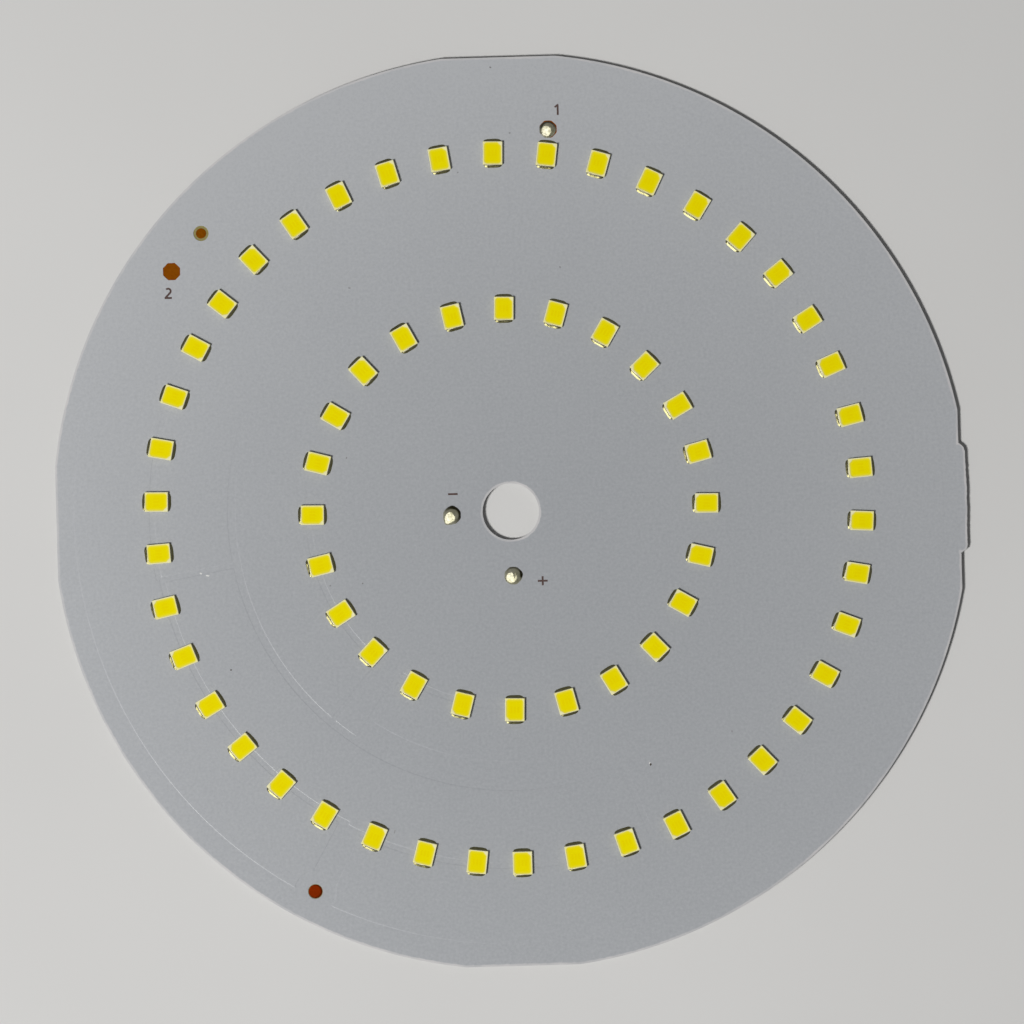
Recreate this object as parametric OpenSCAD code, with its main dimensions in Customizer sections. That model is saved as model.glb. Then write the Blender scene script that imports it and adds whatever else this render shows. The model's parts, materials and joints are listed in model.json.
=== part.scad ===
// Round aluminium-core lamp board with two rings of surface-mounted LEDs.
// The board lies flat: its back face is z = 0 and the LEDs look up along +Z.
// The origin is on the axis of the centre hole. All sizes are in millimetres.
// The print (foil, mask, pads, LEDs) sits a little off the punched outline.

/* [Board] */
// Diameter of the board's round outline
board_d = 130; // [129:0.5:134]
// Depth that each of the three short flats cuts off the circle
flat_depth = 0.5; // [0.3:0.05:0.8]
// Depth that the flat with the tab stub cuts off the circle
tab_flat_depth = 1.25; // [1.1:0.05:1.5]
// Height of the broken-off tab stub above its flat
tab_h = 0.95; // [0.6:0.05:1.05]
// Length of the tab stub along its flat
tab_w = 15.6; // [12:0.2:18]
// Diameter of the centre hole
hole_d = 8; // [6:0.1:9]
// Thickness of the aluminium plate
plate_t = 0.95; // [0.75:0.05:2]
// Thickness of the insulating layer on the plate
insulation_t = 0.15; // [0.08:0.01:0.2]
// Thickness of the copper foil
foil_t = 0.07; // [0.05:0.01:0.12]
// Thickness of the white mask over the foil
mask_t = 0.04; // [0.03:0.01:0.06]

/* [Print] */
// Shift of the print along X from the punched outline
art_x = -0.25; // [-0.4:0.05:0.4]
// Shift of the print along Y from the punched outline
art_y = 0.4; // [-0.45:0.05:0.45]
// Width of the gaps between the foil islands
foil_gap = 1; // [0.85:0.05:1.05]
// Radius of the foil's outer edge
foil_r = 61.65; // [61.25:0.1:61.85]
// Radius of the foil's inner edge round the centre hole
foil_in_r = 5.4; // [5.2:0.1:6]
// Across-flats size of the eight-sided pads
pad_af = 2.44; // [2.2:0.02:2.6]
// Height of the dome of solder on a wire pad
dome_h = 0.8; // [0.5:0.05:1]

/* [LEDs] */
// Radius of the inner ring of LEDs
inner_r = 28.25; // [28:0.05:28.5]
// Radius of the outer ring of LEDs
outer_r = 50.4; // [50.1:0.05:50.7]
// Angle between neighbours in the outer ring
outer_pitch = 8.6; // [8.58:0.01:8.62]
// Length of an LED case
case_l = 3.3; // [3.2:0.05:3.4]
// Width of an LED case
case_w = 2.8; // [2.7:0.05:2.9]
// Height of an LED case
case_h = 0.7; // [0.65:0.05:0.8]
// Length of the window in the top of a case
window_l = 3.02; // [2.9:0.02:3.06]
// Width of the window in the top of a case
window_w = 2.44; // [2.3:0.02:2.5]
// Cut of the window's one bevelled corner, at the cathode end
corner_cut = 0.5; // [0.3:0.05:0.7]
// Length of an LED over its two leads
leads_l = 3.5; // [3.46:0.02:3.56]
// How much of the LEDs' small errors of placing is kept, 1 as they are
floating = 1; // [0:0.1:1]

/* [Hidden] */

// heights
z_foil = plate_t + insulation_t;      // underside of the foil
z_pad = z_foil + foil_t;              // top of the foil
z_mask = z_pad + mask_t;              // top of the mask over the foil
solder_t = mask_t + 0.04;             // solder between the foil and a lead
z_led = z_pad + solder_t;             // underside of the LEDs
lead_t = 0.2;                         // thickness of a lead
lead_w = 2.1;                         // width of a lead
anode_in = -0.83;                     // inner end of the anode lead
cathode_in = -0.48;                   // inner end of the cathode lead
floor_l = 2.5;                        // length of the cavity floor
floor_w = 1.94;                       // width of the cavity floor
fill_drop = 0.03;                     // phosphor fill below the case's rim
chip = [0.85, 0.28, 0.15];            // one chip
chip_pitch = 0.47;                    // spacing of the three chips
wire_t = 0.03;                        // thickness of a bond wire
body_shift = 0.23;                    // case centre from the ring, towards the cathode
gap_shift = 0.22;                     // foil gap from the ring, towards the anode
gap_out = 0.05;                       // and outwards
pad_l = 4.16;                         // length over the two pads of an LED
pad_w = 2.3;                          // width of the pads
pad_a = -1.16;                        // inner end of the anode pad
pad_c = 0.26;                         // inner end of the cathode pad
groove = foil_gap - 0.2;              // width of the groove in the mask over a gap

// pads and dots of the print, from the print's own centre
minus_at = [-8.1, -0.7];
plus_at = [0.35, -9.5];
test_1_at = [7.05, 53.7];
test_2_at = [-46.93, 34.98];
dot_1_at = [-42.61, 40.28];
dot_2_at = [-28.97, -53.53];
dot_1_r = 0.72;
dot_2_r = 0.97;

// The eleven banks of six LEDs in series order, from plus to minus.
// Each is [ring (0 inner, 1 outer), first LED, way (1 cathode out, -1 cathode in)]
BANKS = [[0, 16, 1], [0, 22, -1], [0, 4, 1],
         [1, 15, 1], [1, 9, -1], [1, 3, 1], [1, 39, -1],
         [1, 33, 1], [1, 27, -1], [1, 21, 1],
         [0, 10, -1]];
COUNT = [24, 42];

function led_angle(ring, k) = ring == 0 ? 15 * k : 270.6 + outer_pitch * k;
function ring_r(ring) = ring == 0 ? inner_r : outer_r;
// small errors of placing: how each LED of the inner and the outer ring sits,
// [outwards and sideways in 1/100 mm, turned in 1/10 of a degree]
SEAT = [
  [
    [3, 5, -12], [0, 9, -4], [6, -9, -6], [-6, -3, -17], [-1, -5, -10], [-2, 0, -13],
    [-4, -5, -17], [-4, -2, -32], [-3, 4, -18], [-4, 6, -30], [-12, 17, -19], [-15, 3, -2],
    [-13, 13, -12], [-15, 6, -23], [8, 17, 19], [3, -2, 12], [-2, 3, -9], [4, 3, 0],
    [3, 3, -17], [6, 1, -8], [3, -5, 2], [6, -5, -18], [4, -1, -4], [-3, -9, 11]],
  [
    [11, 0, -7], [5, 6, -13], [-2, 6, 2], [10, -2, -11], [5, 4, -15], [4, 4, -10],
    [11, -4, -22], [-1, -5, -14], [5, 7, -11], [6, -2, 13], [-8, -10, -1], [0, -8, -11],
    [1, -4, -7], [-12, 9, 4], [1, -18, 6], [7, -5, -20], [-1, -17, -4], [0, -15, 8],
    [-11, -17, -18], [-4, -5, -7], [-8, -20, -1], [-13, -14, -28], [-10, -8, -10], [-8, -3, -26],
    [-9, -2, -29], [-9, -8, -24], [-5, -4, -19], [-21, 8, -22], [-24, -14, -8], [-14, -5, -3],
    [-12, 6, 3], [-16, 9, 14], [-11, -4, -24], [6, 3, -23], [3, -8, -24], [5, 10, -16],
    [6, 1, -24], [6, 4, -19], [9, -5, -4], [9, 9, -3], [13, 8, 2], [9, 7, -5]]];
function out(ring, k) = floating * SEAT[ring][k][0] / 100;
function slide(ring, k) = floating * SEAT[ring][k][1] / 100;
function skew(ring, k) = floating * SEAT[ring][k][2] / 10;
// radius of the foil gap under a ring, where the cathodes point way
function gap_r(ring, way) = ring_r(ring) + gap_out - gap_shift * way;

// radii of the foil's edges between the two rings: the bare strip runs from
// mid_a to mid_c, the channel that leads round to bank 11 ends at mid_b
mid_a = 36.25;
mid_b = 39.27;
mid_c = 39.57;
gi_p = gap_r(0, 1);
gi_n = gap_r(0, -1);
go_p = gap_r(1, 1);
go_n = gap_r(1, -1);

// Foil islands. Each is [sectors, bites, cuts, edges]. Sectors are [from
// angle, to angle, inner radius, outer radius], where a radius ends on the
// middle of a gap. Bites are taken off a sector, inside a radius [from angle,
// to angle, 0, radius] or outside one [from angle, to angle, radius, 0]. Cuts
// are radial gaps [angle, from radius, to radius]. Edges are straight ends
// [direction, offset, side, from, to]: the island keeps to one side of a line
// that passes the centre at that offset.
FOIL = [
  // plus, with a tongue between two LEDs
  [[[225, 330, 0, gi_p], [228, 235.15, 26, mid_b]],
   [],
   [[235.15, gi_p, 42]],
   [[229.4, -0.62, 1, 0, 45], [325.9, -3.3, -1, 0, 30]]],
  // links 1 to 10, each between two banks
  [[[235.15, 412.5, gi_p, mid_a]],
   [[322.5, 416, 0, gi_n]],
   [[235.15, 20, 40], [52.5, 20, 40]],
   []],
  [[[285, 506.4, 0, gi_n]],
   [[280, 322.5, gi_p, 0], [412.5, 510, gi_p, 0]],
   [[146.4, 0, 30]],
   [[325.9, -3.5, 1, 0, 30]]],
  [[[52.5, 142.5, gi_p, mid_a], [53.2, 57.5, mid_a - 3, mid_c + 3], [35.3, 85.6, mid_c, go_p]],
   [],
   [[52.5, 20, mid_a], [35.3, 30, 52], [85.6, mid_a + 1, 52], [142.5, 20, 40]],
   []],
  [[[343.7, 445.6, go_p, foil_r]],
   [[340, 395.3, 0, go_n]],
   [[343.7, 45, 64], [85.6, 45, 64]],
   []],
  [[[292.1, 395.3, mid_c, go_n]],
   [[288, 343.7, go_p, 0]],
   [[292.1, 30, 52], [35.3, 30, 52]],
   []],
  [[[243.4, 343.7, go_p, foil_r]],
   [[240, 292.1, 0, go_n]],
   [[243.4, 45, 64], [343.7, 45, 64]],
   []],
  [[[190, 292.1, mid_c, go_n]],
   [[186, 241.6, go_p, 0]],
   [[190, 30, 52], [292.1, 30, 52]],
   []],
  [[[140, 240.4, go_p, foil_r]],
   [[136, 190, 0, go_n]],
   [[140, 45, 64], [240.4, 45, 64]],
   []],
  [[[88, 190, mid_c, go_n]],
   [[84, 140, go_p, 0]],
   [[88, 30, 52], [190, 30, 52]],
   []],
  [[[85.3, 140, go_p, foil_r], [85.4, 88.3, mid_a + 1.2, go_p + 4], [85.3, 229.4, gi_n, mid_b]],
   [[82, 142.5, 0, mid_a]],
   [[85.3, 30, 64], [140, 45, 64], [88.3, mid_b, go_p], [142.5, 20, mid_a]],
   [[229.4, -0.455, -1, 20, 45]]],
  // minus
  [[[146.2, 231, 0, gi_n]],
   [],
   [[146.2, 0, 30]],
   [[229.4, -0.34, -1, 0, 30]]]
];

// ---- board outline ----

// Full thickness h of the punched outline, with its hole of radius hr
module blank(h, hr) {
  r = board_d / 2;
  y0 = 0.2;
  difference() {
    union() {
      difference() {
        cylinder(r = r, h = h, $fn = 360);
        for (a = [90, 180, 270]) rotate([0, 0, a])
          translate([r - flat_depth, -r, -1]) cube([10, 2 * r, h + 2]);
        translate([r - tab_flat_depth, -r, -1]) cube([10, 2 * r, h + 2]);
      }
      // stub of the broken-off tab, with a torn edge
      linear_extrude(height = h)
        polygon([for (p = [[-2, -0.5], [0.02, -0.5], [0.35, -0.487], [0.85, -0.467],
                           [0.98, -0.43], [0.96, -0.3], [1.02, -0.19], [1.08, -0.1],
                           [1.03, -0.02], [1.1, 0.07], [1.02, 0.2], [0.97, 0.32],
                           [0.94, 0.42], [0.8, 0.455], [0.5, 0.475], [0.02, 0.5], [-2, 0.5]])
                   [r - tab_flat_depth + (p[0] < 0 ? p[0] : p[0] * tab_h), y0 + p[1] * tab_w]]);
    }
    translate([0, 0, -1]) cylinder(r = hr, h = h + 2, $fn = 96);
  }
}

module base_plate() color([0.78, 0.79, 0.80]) blank(plate_t, hole_d / 2);

module insulating_layer() color([0.80, 0.78, 0.70])
  translate([0, 0, plate_t]) blank(insulation_t, hole_d / 2);

// ---- print ----

module at_print(p = [0, 0]) translate([art_x + p[0], art_y + p[1], 0]) children();

// Part of a ring between two angles, from z to z + h
module sector(a0, a1, r0, r1, z, h)
  rotate([0, 0, a0]) rotate_extrude(angle = a1 - a0, $fn = 360)
    translate([r0, z]) square([r1 - r0, h]);

// How far the end of a sector of radius r turns to stand as its sides do
function end_turn(e, r) = (foil_gap / 2 - e) / r * 180 / PI;

// Foil island n, from z to z + h, standing back by half of gap from each gap's middle
module island(n, z, h, gap) {
  e = gap / 2;
  k = (foil_gap - gap) / 2;
  at_print() difference() {
    union() for (s = FOIL[n][0]) let (q = end_turn(e, s[3]))
      sector(s[0] - q, s[1] + q, s[2] == 0 ? foil_in_r + e - foil_gap / 2 : s[2] + e,
             s[3] == foil_r ? foil_r + foil_gap / 2 - e : s[3] - e, z, h);
    for (b = FOIL[n][1]) let (q = end_turn(e, max(b[2], b[3])))
      sector(b[0] + q, b[1] - q, b[2] == 0 ? 1 : b[2] - e, b[2] == 0 ? b[3] + e : b[2] + 10,
             z - 1, h + 2);
    for (c = FOIL[n][2]) rotate([0, 0, c[0]])
      translate([c[1] + k, -e, z - 1]) cube([c[2] - c[1] - 2 * k, 2 * e, h + 2]);
    for (c = FOIL[n][3]) rotate([0, 0, c[0]])
      translate([c[3], c[2] > 0 ? c[1] + e - 40 : c[1] - e, z - 1])
        cube([c[4] - c[3], 40, h + 2]);
    if (n == 10) translate([dot_1_at[0], dot_1_at[1], z - 1])
      cylinder(r = 1.1 + e, h = h + 2, $fn = 48);
    if (n == 6 || n == 8) translate([dot_2_at[0], dot_2_at[1], z - 1])
      cylinder(r = 2.55 + e, h = h + 2, $fn = 64);
  }
}

module foil(n) color([0.50, 0.26, 0.05]) island(n, z_foil, foil_t, foil_gap);

module locating_dots() color([0.50, 0.26, 0.05]) {
  at_print(dot_1_at) translate([0, 0, z_foil]) cylinder(r = dot_1_r, h = foil_t, $fn = 48);
  at_print(dot_2_at) translate([0, 0, z_foil]) cylinder(r = dot_2_r, h = foil_t, $fn = 48);
}

// Eight-sided pad opening, h high from z
module pad_prism(p, z, h) at_print(p) translate([0, 0, z]) rotate([0, 0, 22.5])
  cylinder(r = pad_af / 2 / cos(22.5), h = h, $fn = 8);

// Frame of one LED: z = 0 at its underside, +X towards the cathode end.
// turned = false leaves out its turn, for the openings under it.
module at_led(ring, k, way, turned = true)
  at_print() rotate([0, 0, led_angle(ring, k)])
    translate([ring_r(ring) + way * body_shift + out(ring, k), slide(ring, k), z_led])
      rotate([0, 0, (way > 0 ? 0 : 180) + (turned ? skew(ring, k) : 0)]) children();

module bank(n) {
  b = BANKS[n - 1];
  for (i = [0:5]) at_led(b[0], (b[1] + i) % COUNT[b[0]], b[2]) children();
}

module ring_of_leds(ring) for (n = [1:11]) if (BANKS[n - 1][0] == ring) bank(n) children();

module solder_mask() color([0.80, 0.81, 0.82]) difference() {
  translate([0, 0, z_foil]) blank(foil_t + mask_t, hole_d / 2);
  // room for the foil
  for (n = [0:11]) island(n, z_foil - 0.01, foil_t + 0.01, foil_gap);
  // the mask sinks into the gaps and round the foil
  difference() {
    translate([0, 0, z_pad]) cylinder(r = board_d, h = 1, $fn = 24);
    for (n = [0:11]) island(n, z_pad - 0.01, 1.2, groove);
  }
  // openings over the pads
  for (b = BANKS) for (i = [0:5])
    at_led(b[0], (b[1] + i) % COUNT[b[0]], b[2], turned = false) {
      translate([-pad_l / 2, -pad_w / 2, z_pad - z_led - 0.01])
        cube([pad_l / 2 + pad_a, pad_w, 1]);
      translate([pad_c, -pad_w / 2, z_pad - z_led - 0.01])
        cube([pad_l / 2 - pad_c, pad_w, 1]);
    }
  for (p = [plus_at, minus_at, test_1_at, test_2_at]) pad_prism(p, z_pad - 0.01, 1);
  at_print(dot_1_at) translate([0, 0, z_foil - 0.01]) cylinder(r = 1.08, h = 1, $fn = 48);
  at_print(dot_2_at) translate([0, 0, z_foil - 0.01]) cylinder(r = 1.05, h = 1, $fn = 48);
}

// Signs and plain numbers in ink beside the pads
module printed_marks() color([0.32, 0.26, 0.24]) {
  t = 0.015;
  w = 0.27;
  // minus
  at_print([-7.9, 2.3]) translate([-0.68, -w / 2, z_mask]) cube([1.36, w, t]);
  // plus
  at_print([4.5, -10.35]) union() {
    translate([-0.7, -w / 2, z_mask]) cube([1.4, w, t]);
    translate([-w / 2, -0.65, z_mask]) cube([w, 1.3, t]);
  }
  // 1
  at_print([8.3, 56.45]) translate([0, 0, z_mask]) linear_extrude(height = t)
    polygon([[0.32, -0.78], [0.32, 0.78], [0.12, 0.78], [-0.3, 0.42], [-0.18, 0.22],
             [0.05, 0.4], [0.05, -0.78]]);
  // 2
  at_print([-47.5, 31.9]) translate([0, 0, z_mask]) union() {
    difference() {
      translate([0, 0.3, 0]) cylinder(r = 0.5, h = t, $fn = 40);
      translate([0, 0.3, -1]) cylinder(r = 0.5 - w, h = 2, $fn = 40);
      rotate([0, 0, -45]) translate([-2, -3.2 + 0.21, -1]) cube([2, 3.2, 2]);
      translate([-2, -1.7, -1]) cube([2.0, 2.0, 2]);
    }
    linear_extrude(height = t)
      polygon([[0.17, 0.17], [0.36, -0.04], [-0.1, -0.52], [0.52, -0.52], [0.52, -0.79],
               [-0.52, -0.79], [-0.52, -0.56]]);
  }
}

// ---- solder on the wire pads ----

// Rounded lump of radius r and height h on z = 0
module lump(r, h) rotate_extrude($fn = 64)
  intersection() {
    translate([0, h - (r * r + h * h) / (2 * h)]) circle(r = (r * r + h * h) / (2 * h), $fn = 180);
    square([r + 1, h + 1]);
  }

module solder_plus() color([0.75, 0.74, 0.66]) union() {
  pad_prism(plus_at, z_pad, mask_t);
  at_print(plus_at) translate([0, 0, z_mask]) lump(1.2, dome_h);
}

module solder_minus() color([0.75, 0.74, 0.66]) union() {
  pad_prism(minus_at, z_pad, mask_t);
  at_print(minus_at) translate([0, 0, z_mask]) union() {
    translate([0.1, 0.2, 0]) lump(1.22, dome_h);
    translate([-0.42, -0.85, 0]) lump(0.75, dome_h * 0.45);
  }
}

module solder_test_pad() color([0.75, 0.74, 0.66])
  at_print(test_1_at) translate([-0.04, -0.06, z_pad]) lump(1.14, dome_h);

// ---- one LED, in its own frame ----

// Tapered block from a floor a x b at z = 0 to a x b at z = h, grown dz past its top
module taper(l0, w0, l1, w1, h, dz) {
  k = (h + dz) / h;
  l2 = l0 + (l1 - l0) * k;
  w2 = w0 + (w1 - w0) * k;
  intersection() {
    rotate([90, 0, 0]) linear_extrude(height = 2 * w1, center = true)
      polygon([[-l0 / 2, 0], [l0 / 2, 0], [l2 / 2, h + dz], [-l2 / 2, h + dz]]);
    rotate([90, 0, 90]) linear_extrude(height = 2 * l1, center = true)
      polygon([[-w0 / 2, 0], [w0 / 2, 0], [w2 / 2, h + dz], [-w2 / 2, h + dz]]);
  }
}

// Hollow of the case above the leads, dz past the case's top
module cavity(dz) translate([0, 0, lead_t]) difference() {
  taper(floor_l, floor_w, window_l, window_w, case_h - lead_t, dz);
  translate([window_l / 2, -window_w / 2, 0]) rotate([0, 0, 45])
    cube([corner_cut * sqrt(2), corner_cut * sqrt(2), 4], center = true);
}

module anode_lead(d = 0) translate([-leads_l / 2 - d, -lead_w / 2, -d])
  cube([leads_l / 2 + anode_in + d, lead_w, lead_t + d]);

module cathode_lead(d = 0) translate([cathode_in, -lead_w / 2, -d])
  cube([leads_l / 2 - cathode_in + d, lead_w, lead_t + d]);

module case() difference() {
  translate([-case_l / 2, -case_w / 2, 0]) cube([case_l, case_w, case_h]);
  cavity(0.1);
  anode_lead(0.1);
  cathode_lead(0.1);
}

module chips() for (j = [-1:1]) translate([-chip[0] / 2, j * chip_pitch - chip[1] / 2, lead_t])
  cube(chip);

// Loop of wire over span s, from a foot at height f0 to one at height f1, top at height t
module wire_loop(s, f0, f1, t) rotate([90, 0, 0]) linear_extrude(height = wire_t, center = true)
  polygon([[0, f0], [0, t], [s, t], [s, f1], [s - wire_t, f1], [s - wire_t, t - wire_t],
           [wire_t, t - wire_t], [wire_t, f0]]);

module bond_wires() translate([0, 0, lead_t]) {
  translate([-1, -chip_pitch, 0]) wire_loop(0.7, 0, chip[2], 0.29);
  translate([0.3, -chip_pitch - 0.015, 0]) rotate([0, 0, 90]) wire_loop(chip_pitch + 0.03, chip[2], chip[2], 0.27);
  translate([-0.2, -0.015, 0]) rotate([0, 0, 90]) wire_loop(chip_pitch + 0.03, chip[2], chip[2], 0.27);
  translate([0.3, chip_pitch, 0]) wire_loop(0.7, chip[2], 0, 0.29);
}

module phosphor() difference() {
  intersection() {
    cavity(0);
    translate([-3, -3, 0]) cube([6, 6, case_h - fill_drop]);
  }
  chips();
  bond_wires();
}

// Solder under and at the end of both leads
module led_solder() {
  z0 = -solder_t;
  o = pad_l / 2 - 0.06;
  rotate([90, 0, 0]) linear_extrude(height = 2.04, center = true) {
    polygon([[-o, z0], [pad_a - 0.07, z0], [pad_a - 0.07, 0], [-leads_l / 2, 0], [-leads_l / 2, lead_t - 0.03],
             [-leads_l / 2 - 0.08, lead_t - 0.06], [-o + 0.12, 0.04], [-o, z0 + 0.05]]);
    polygon([[o, z0], [pad_c + 0.07, z0], [pad_c + 0.07, 0], [leads_l / 2, 0], [leads_l / 2, lead_t - 0.03],
             [leads_l / 2 + 0.08, lead_t - 0.06], [o - 0.12, 0.04], [o, z0 + 0.05]]);
  }
}

module cases_bank(n) color([0.93, 0.90, 0.78]) bank(n) case();
module phosphors_bank(n) color([0.90, 0.83, 0.03]) bank(n) phosphor();
module anode_leads(ring) color([0.75, 0.74, 0.70]) ring_of_leds(ring) anode_lead();
module cathode_leads(ring) color([0.75, 0.74, 0.70]) ring_of_leds(ring) cathode_lead();
module chips_of(ring) color([0.45, 0.60, 0.75]) ring_of_leds(ring) chips();
module bond_wires_of(ring) color([0.85, 0.65, 0.25]) ring_of_leds(ring) bond_wires();
module led_solder_of(ring) color([0.72, 0.71, 0.66]) ring_of_leds(ring) led_solder();

base_plate();
insulating_layer();
foil(0);  // foil_plus
foil(1);  // foil_link_01
foil(2);  // foil_link_02
foil(3);  // foil_link_03
foil(4);  // foil_link_04
foil(5);  // foil_link_05
foil(6);  // foil_link_06
foil(7);  // foil_link_07
foil(8);  // foil_link_08
foil(9);  // foil_link_09
foil(10);  // foil_link_10
foil(11);  // foil_minus
locating_dots();
solder_mask();
printed_marks();
solder_plus();
solder_minus();
solder_test_pad();
cases_bank(1);  // cases_bank_01
cases_bank(2);  // cases_bank_02
cases_bank(3);  // cases_bank_03
cases_bank(4);  // cases_bank_04
cases_bank(5);  // cases_bank_05
cases_bank(6);  // cases_bank_06
cases_bank(7);  // cases_bank_07
cases_bank(8);  // cases_bank_08
cases_bank(9);  // cases_bank_09
cases_bank(10);  // cases_bank_10
cases_bank(11);  // cases_bank_11
phosphors_bank(1);  // phosphors_bank_01
phosphors_bank(2);  // phosphors_bank_02
phosphors_bank(3);  // phosphors_bank_03
phosphors_bank(4);  // phosphors_bank_04
phosphors_bank(5);  // phosphors_bank_05
phosphors_bank(6);  // phosphors_bank_06
phosphors_bank(7);  // phosphors_bank_07
phosphors_bank(8);  // phosphors_bank_08
phosphors_bank(9);  // phosphors_bank_09
phosphors_bank(10);  // phosphors_bank_10
phosphors_bank(11);  // phosphors_bank_11
anode_leads(0);  // anode_leads_inner
anode_leads(1);  // anode_leads_outer
cathode_leads(0);  // cathode_leads_inner
cathode_leads(1);  // cathode_leads_outer
chips_of(0);  // chips_inner
chips_of(1);  // chips_outer
bond_wires_of(0);  // bond_wires_inner
bond_wires_of(1);  // bond_wires_outer
led_solder_of(0);  // led_solder_inner
led_solder_of(1);  // led_solder_outer
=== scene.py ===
"""Looks of a round aluminium-core LED board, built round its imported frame.

Lengths are worked out in millimetres in the row frame and written in metres.
"""
import json
import math

import bpy
import numpy as np
from mathutils import Matrix, Vector, noise
from mathutils.geometry import delaunay_2d_cdt

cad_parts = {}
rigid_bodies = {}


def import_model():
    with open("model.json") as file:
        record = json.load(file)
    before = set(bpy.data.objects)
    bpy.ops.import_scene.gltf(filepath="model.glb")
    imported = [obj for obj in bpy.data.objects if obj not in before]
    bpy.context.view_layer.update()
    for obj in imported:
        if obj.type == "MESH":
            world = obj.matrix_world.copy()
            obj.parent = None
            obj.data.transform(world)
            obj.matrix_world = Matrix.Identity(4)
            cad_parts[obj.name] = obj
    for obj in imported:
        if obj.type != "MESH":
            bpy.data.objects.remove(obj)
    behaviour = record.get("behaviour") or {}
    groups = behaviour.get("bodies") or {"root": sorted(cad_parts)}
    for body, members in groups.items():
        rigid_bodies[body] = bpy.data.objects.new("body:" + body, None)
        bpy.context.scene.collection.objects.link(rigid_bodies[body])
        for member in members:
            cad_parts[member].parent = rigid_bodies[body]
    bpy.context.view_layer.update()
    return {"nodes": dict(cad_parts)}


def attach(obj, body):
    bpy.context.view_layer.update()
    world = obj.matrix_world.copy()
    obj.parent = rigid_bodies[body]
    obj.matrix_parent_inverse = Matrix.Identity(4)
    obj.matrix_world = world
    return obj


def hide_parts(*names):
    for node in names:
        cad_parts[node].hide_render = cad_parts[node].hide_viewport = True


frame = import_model()
nodes = frame["nodes"]
MM = 0.001

# ---------------------------------------------------------------- the board's sizes

ART = (-0.25, 0.4)            # centre of the print
BOARD_R, FLAT, TAB_FLAT, HOLE_R = 65.0, 64.5, 63.75, 4.0
TAB_Y0, TAB_W, TAB_H = 0.2, 15.6, 0.95
Z_PLATE, Z_FOIL, Z_PAD, Z_MASK, Z_LED = 0.95, 1.1, 1.17, 1.21, 1.25
RELIEF = 0.020                # how far the mask sinks over a gap in the foil
INNER_R, OUTER_R, PITCH = 28.25, 50.4, 8.6
SHIFT = 0.23
GAP_OUT, GAP_SHIFT = 0.05, 0.22
FOIL_R, FOIL_IN = 61.65, 5.4
PAD_AF = 2.44
MINUS_AT, PLUS_AT = (-8.1, -0.7), (0.35, -9.5)
TEST_1, TEST_2 = (7.05, 53.7), (-46.93, 34.98)
DOT_1, DOT_2 = (-42.61, 40.28), (-28.97, -53.53)
BANKS = [(0, 16, 1), (0, 22, -1), (0, 4, 1), (1, 15, 1), (1, 9, -1), (1, 3, 1),
         (1, 39, -1), (1, 33, 1), (1, 27, -1), (1, 21, 1), (0, 10, -1)]
COUNT = (24, 42)
# how each LED of the inner and the outer ring sits: outwards and sideways in
# 1/100 mm, turned in 1/10 of a degree
SEAT = [
    [
        [3, 5, -12], [0, 9, -4], [6, -9, -6], [-6, -3, -17], [-1, -5, -10], [-2, 0, -13],
        [-4, -5, -17], [-4, -2, -32], [-3, 4, -18], [-4, 6, -30], [-12, 17, -19], [-15, 3, -2],
        [-13, 13, -12], [-15, 6, -23], [8, 17, 19], [3, -2, 12], [-2, 3, -9], [4, 3, 0],
        [3, 3, -17], [6, 1, -8], [3, -5, 2], [6, -5, -18], [4, -1, -4], [-3, -9, 11]],
    [
        [11, 0, -7], [5, 6, -13], [-2, 6, 2], [10, -2, -11], [5, 4, -15], [4, 4, -10],
        [11, -4, -22], [-1, -5, -14], [5, 7, -11], [6, -2, 13], [-8, -10, -1], [0, -8, -11],
        [1, -4, -7], [-12, 9, 4], [1, -18, 6], [7, -5, -20], [-1, -17, -4], [0, -15, 8],
        [-11, -17, -18], [-4, -5, -7], [-8, -20, -1], [-13, -14, -28], [-10, -8, -10], [-8, -3, -26],
        [-9, -2, -29], [-9, -8, -24], [-5, -4, -19], [-21, 8, -22], [-24, -14, -8], [-14, -5, -3],
        [-12, 6, 3], [-16, 9, 14], [-11, -4, -24], [6, 3, -23], [3, -8, -24], [5, 10, -16],
        [6, 1, -24], [6, 4, -19], [9, -5, -4], [9, 9, -3], [13, 8, 2], [9, 7, -5]]]


def sind(a):
    return math.sin(math.radians(a))


def cosd(a):
    return math.cos(math.radians(a))


def led_angle(ring, k):
    return 15.0 * k if ring == 0 else 270.6 + PITCH * k


def ring_r(ring):
    return INNER_R if ring == 0 else OUTER_R


def rot(p, a):
    c, s = cosd(a), sind(a)
    x, y = p[..., 0], p[..., 1]
    return np.stack([c * x - s * y, s * x + c * y], -1)


def led_place(ring, k, way, turned=True):
    """The turn and the place of an LED's own frame in the row frame."""
    a = led_angle(ring, k)
    out, side, turn = SEAT[ring][k]
    t = a + (0.0 if way > 0 else 180.0) + (turn / 10 if turned else 0.0)
    p = rot(np.array([ring_r(ring) + way * SHIFT + out / 100, side / 100]), a)
    return t, p[0] + ART[0], p[1] + ART[1]


LEDS = []                      # (bank, ring, number, way)
for bank_no, (ring, first, way) in enumerate(BANKS):
    for i in range(6):
        LEDS.append((bank_no + 1, ring, (first + i) % COUNT[ring], way))

# ---------------------------------------------------------------- small helpers


def rnd(*key):
    """A number from 0 to 1 that depends only on its key."""
    s = 0.0
    for i, v in enumerate(key):
        s += (v + 1.37) * (12.9898 + 7.233 * i)
    x = math.sin(s * 1.317 + 0.71) * 43758.5453
    return x - math.floor(x)


def smooth01(t):
    t = np.clip(t, 0.0, 1.0)
    return t * t * (3 - 2 * t)


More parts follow.
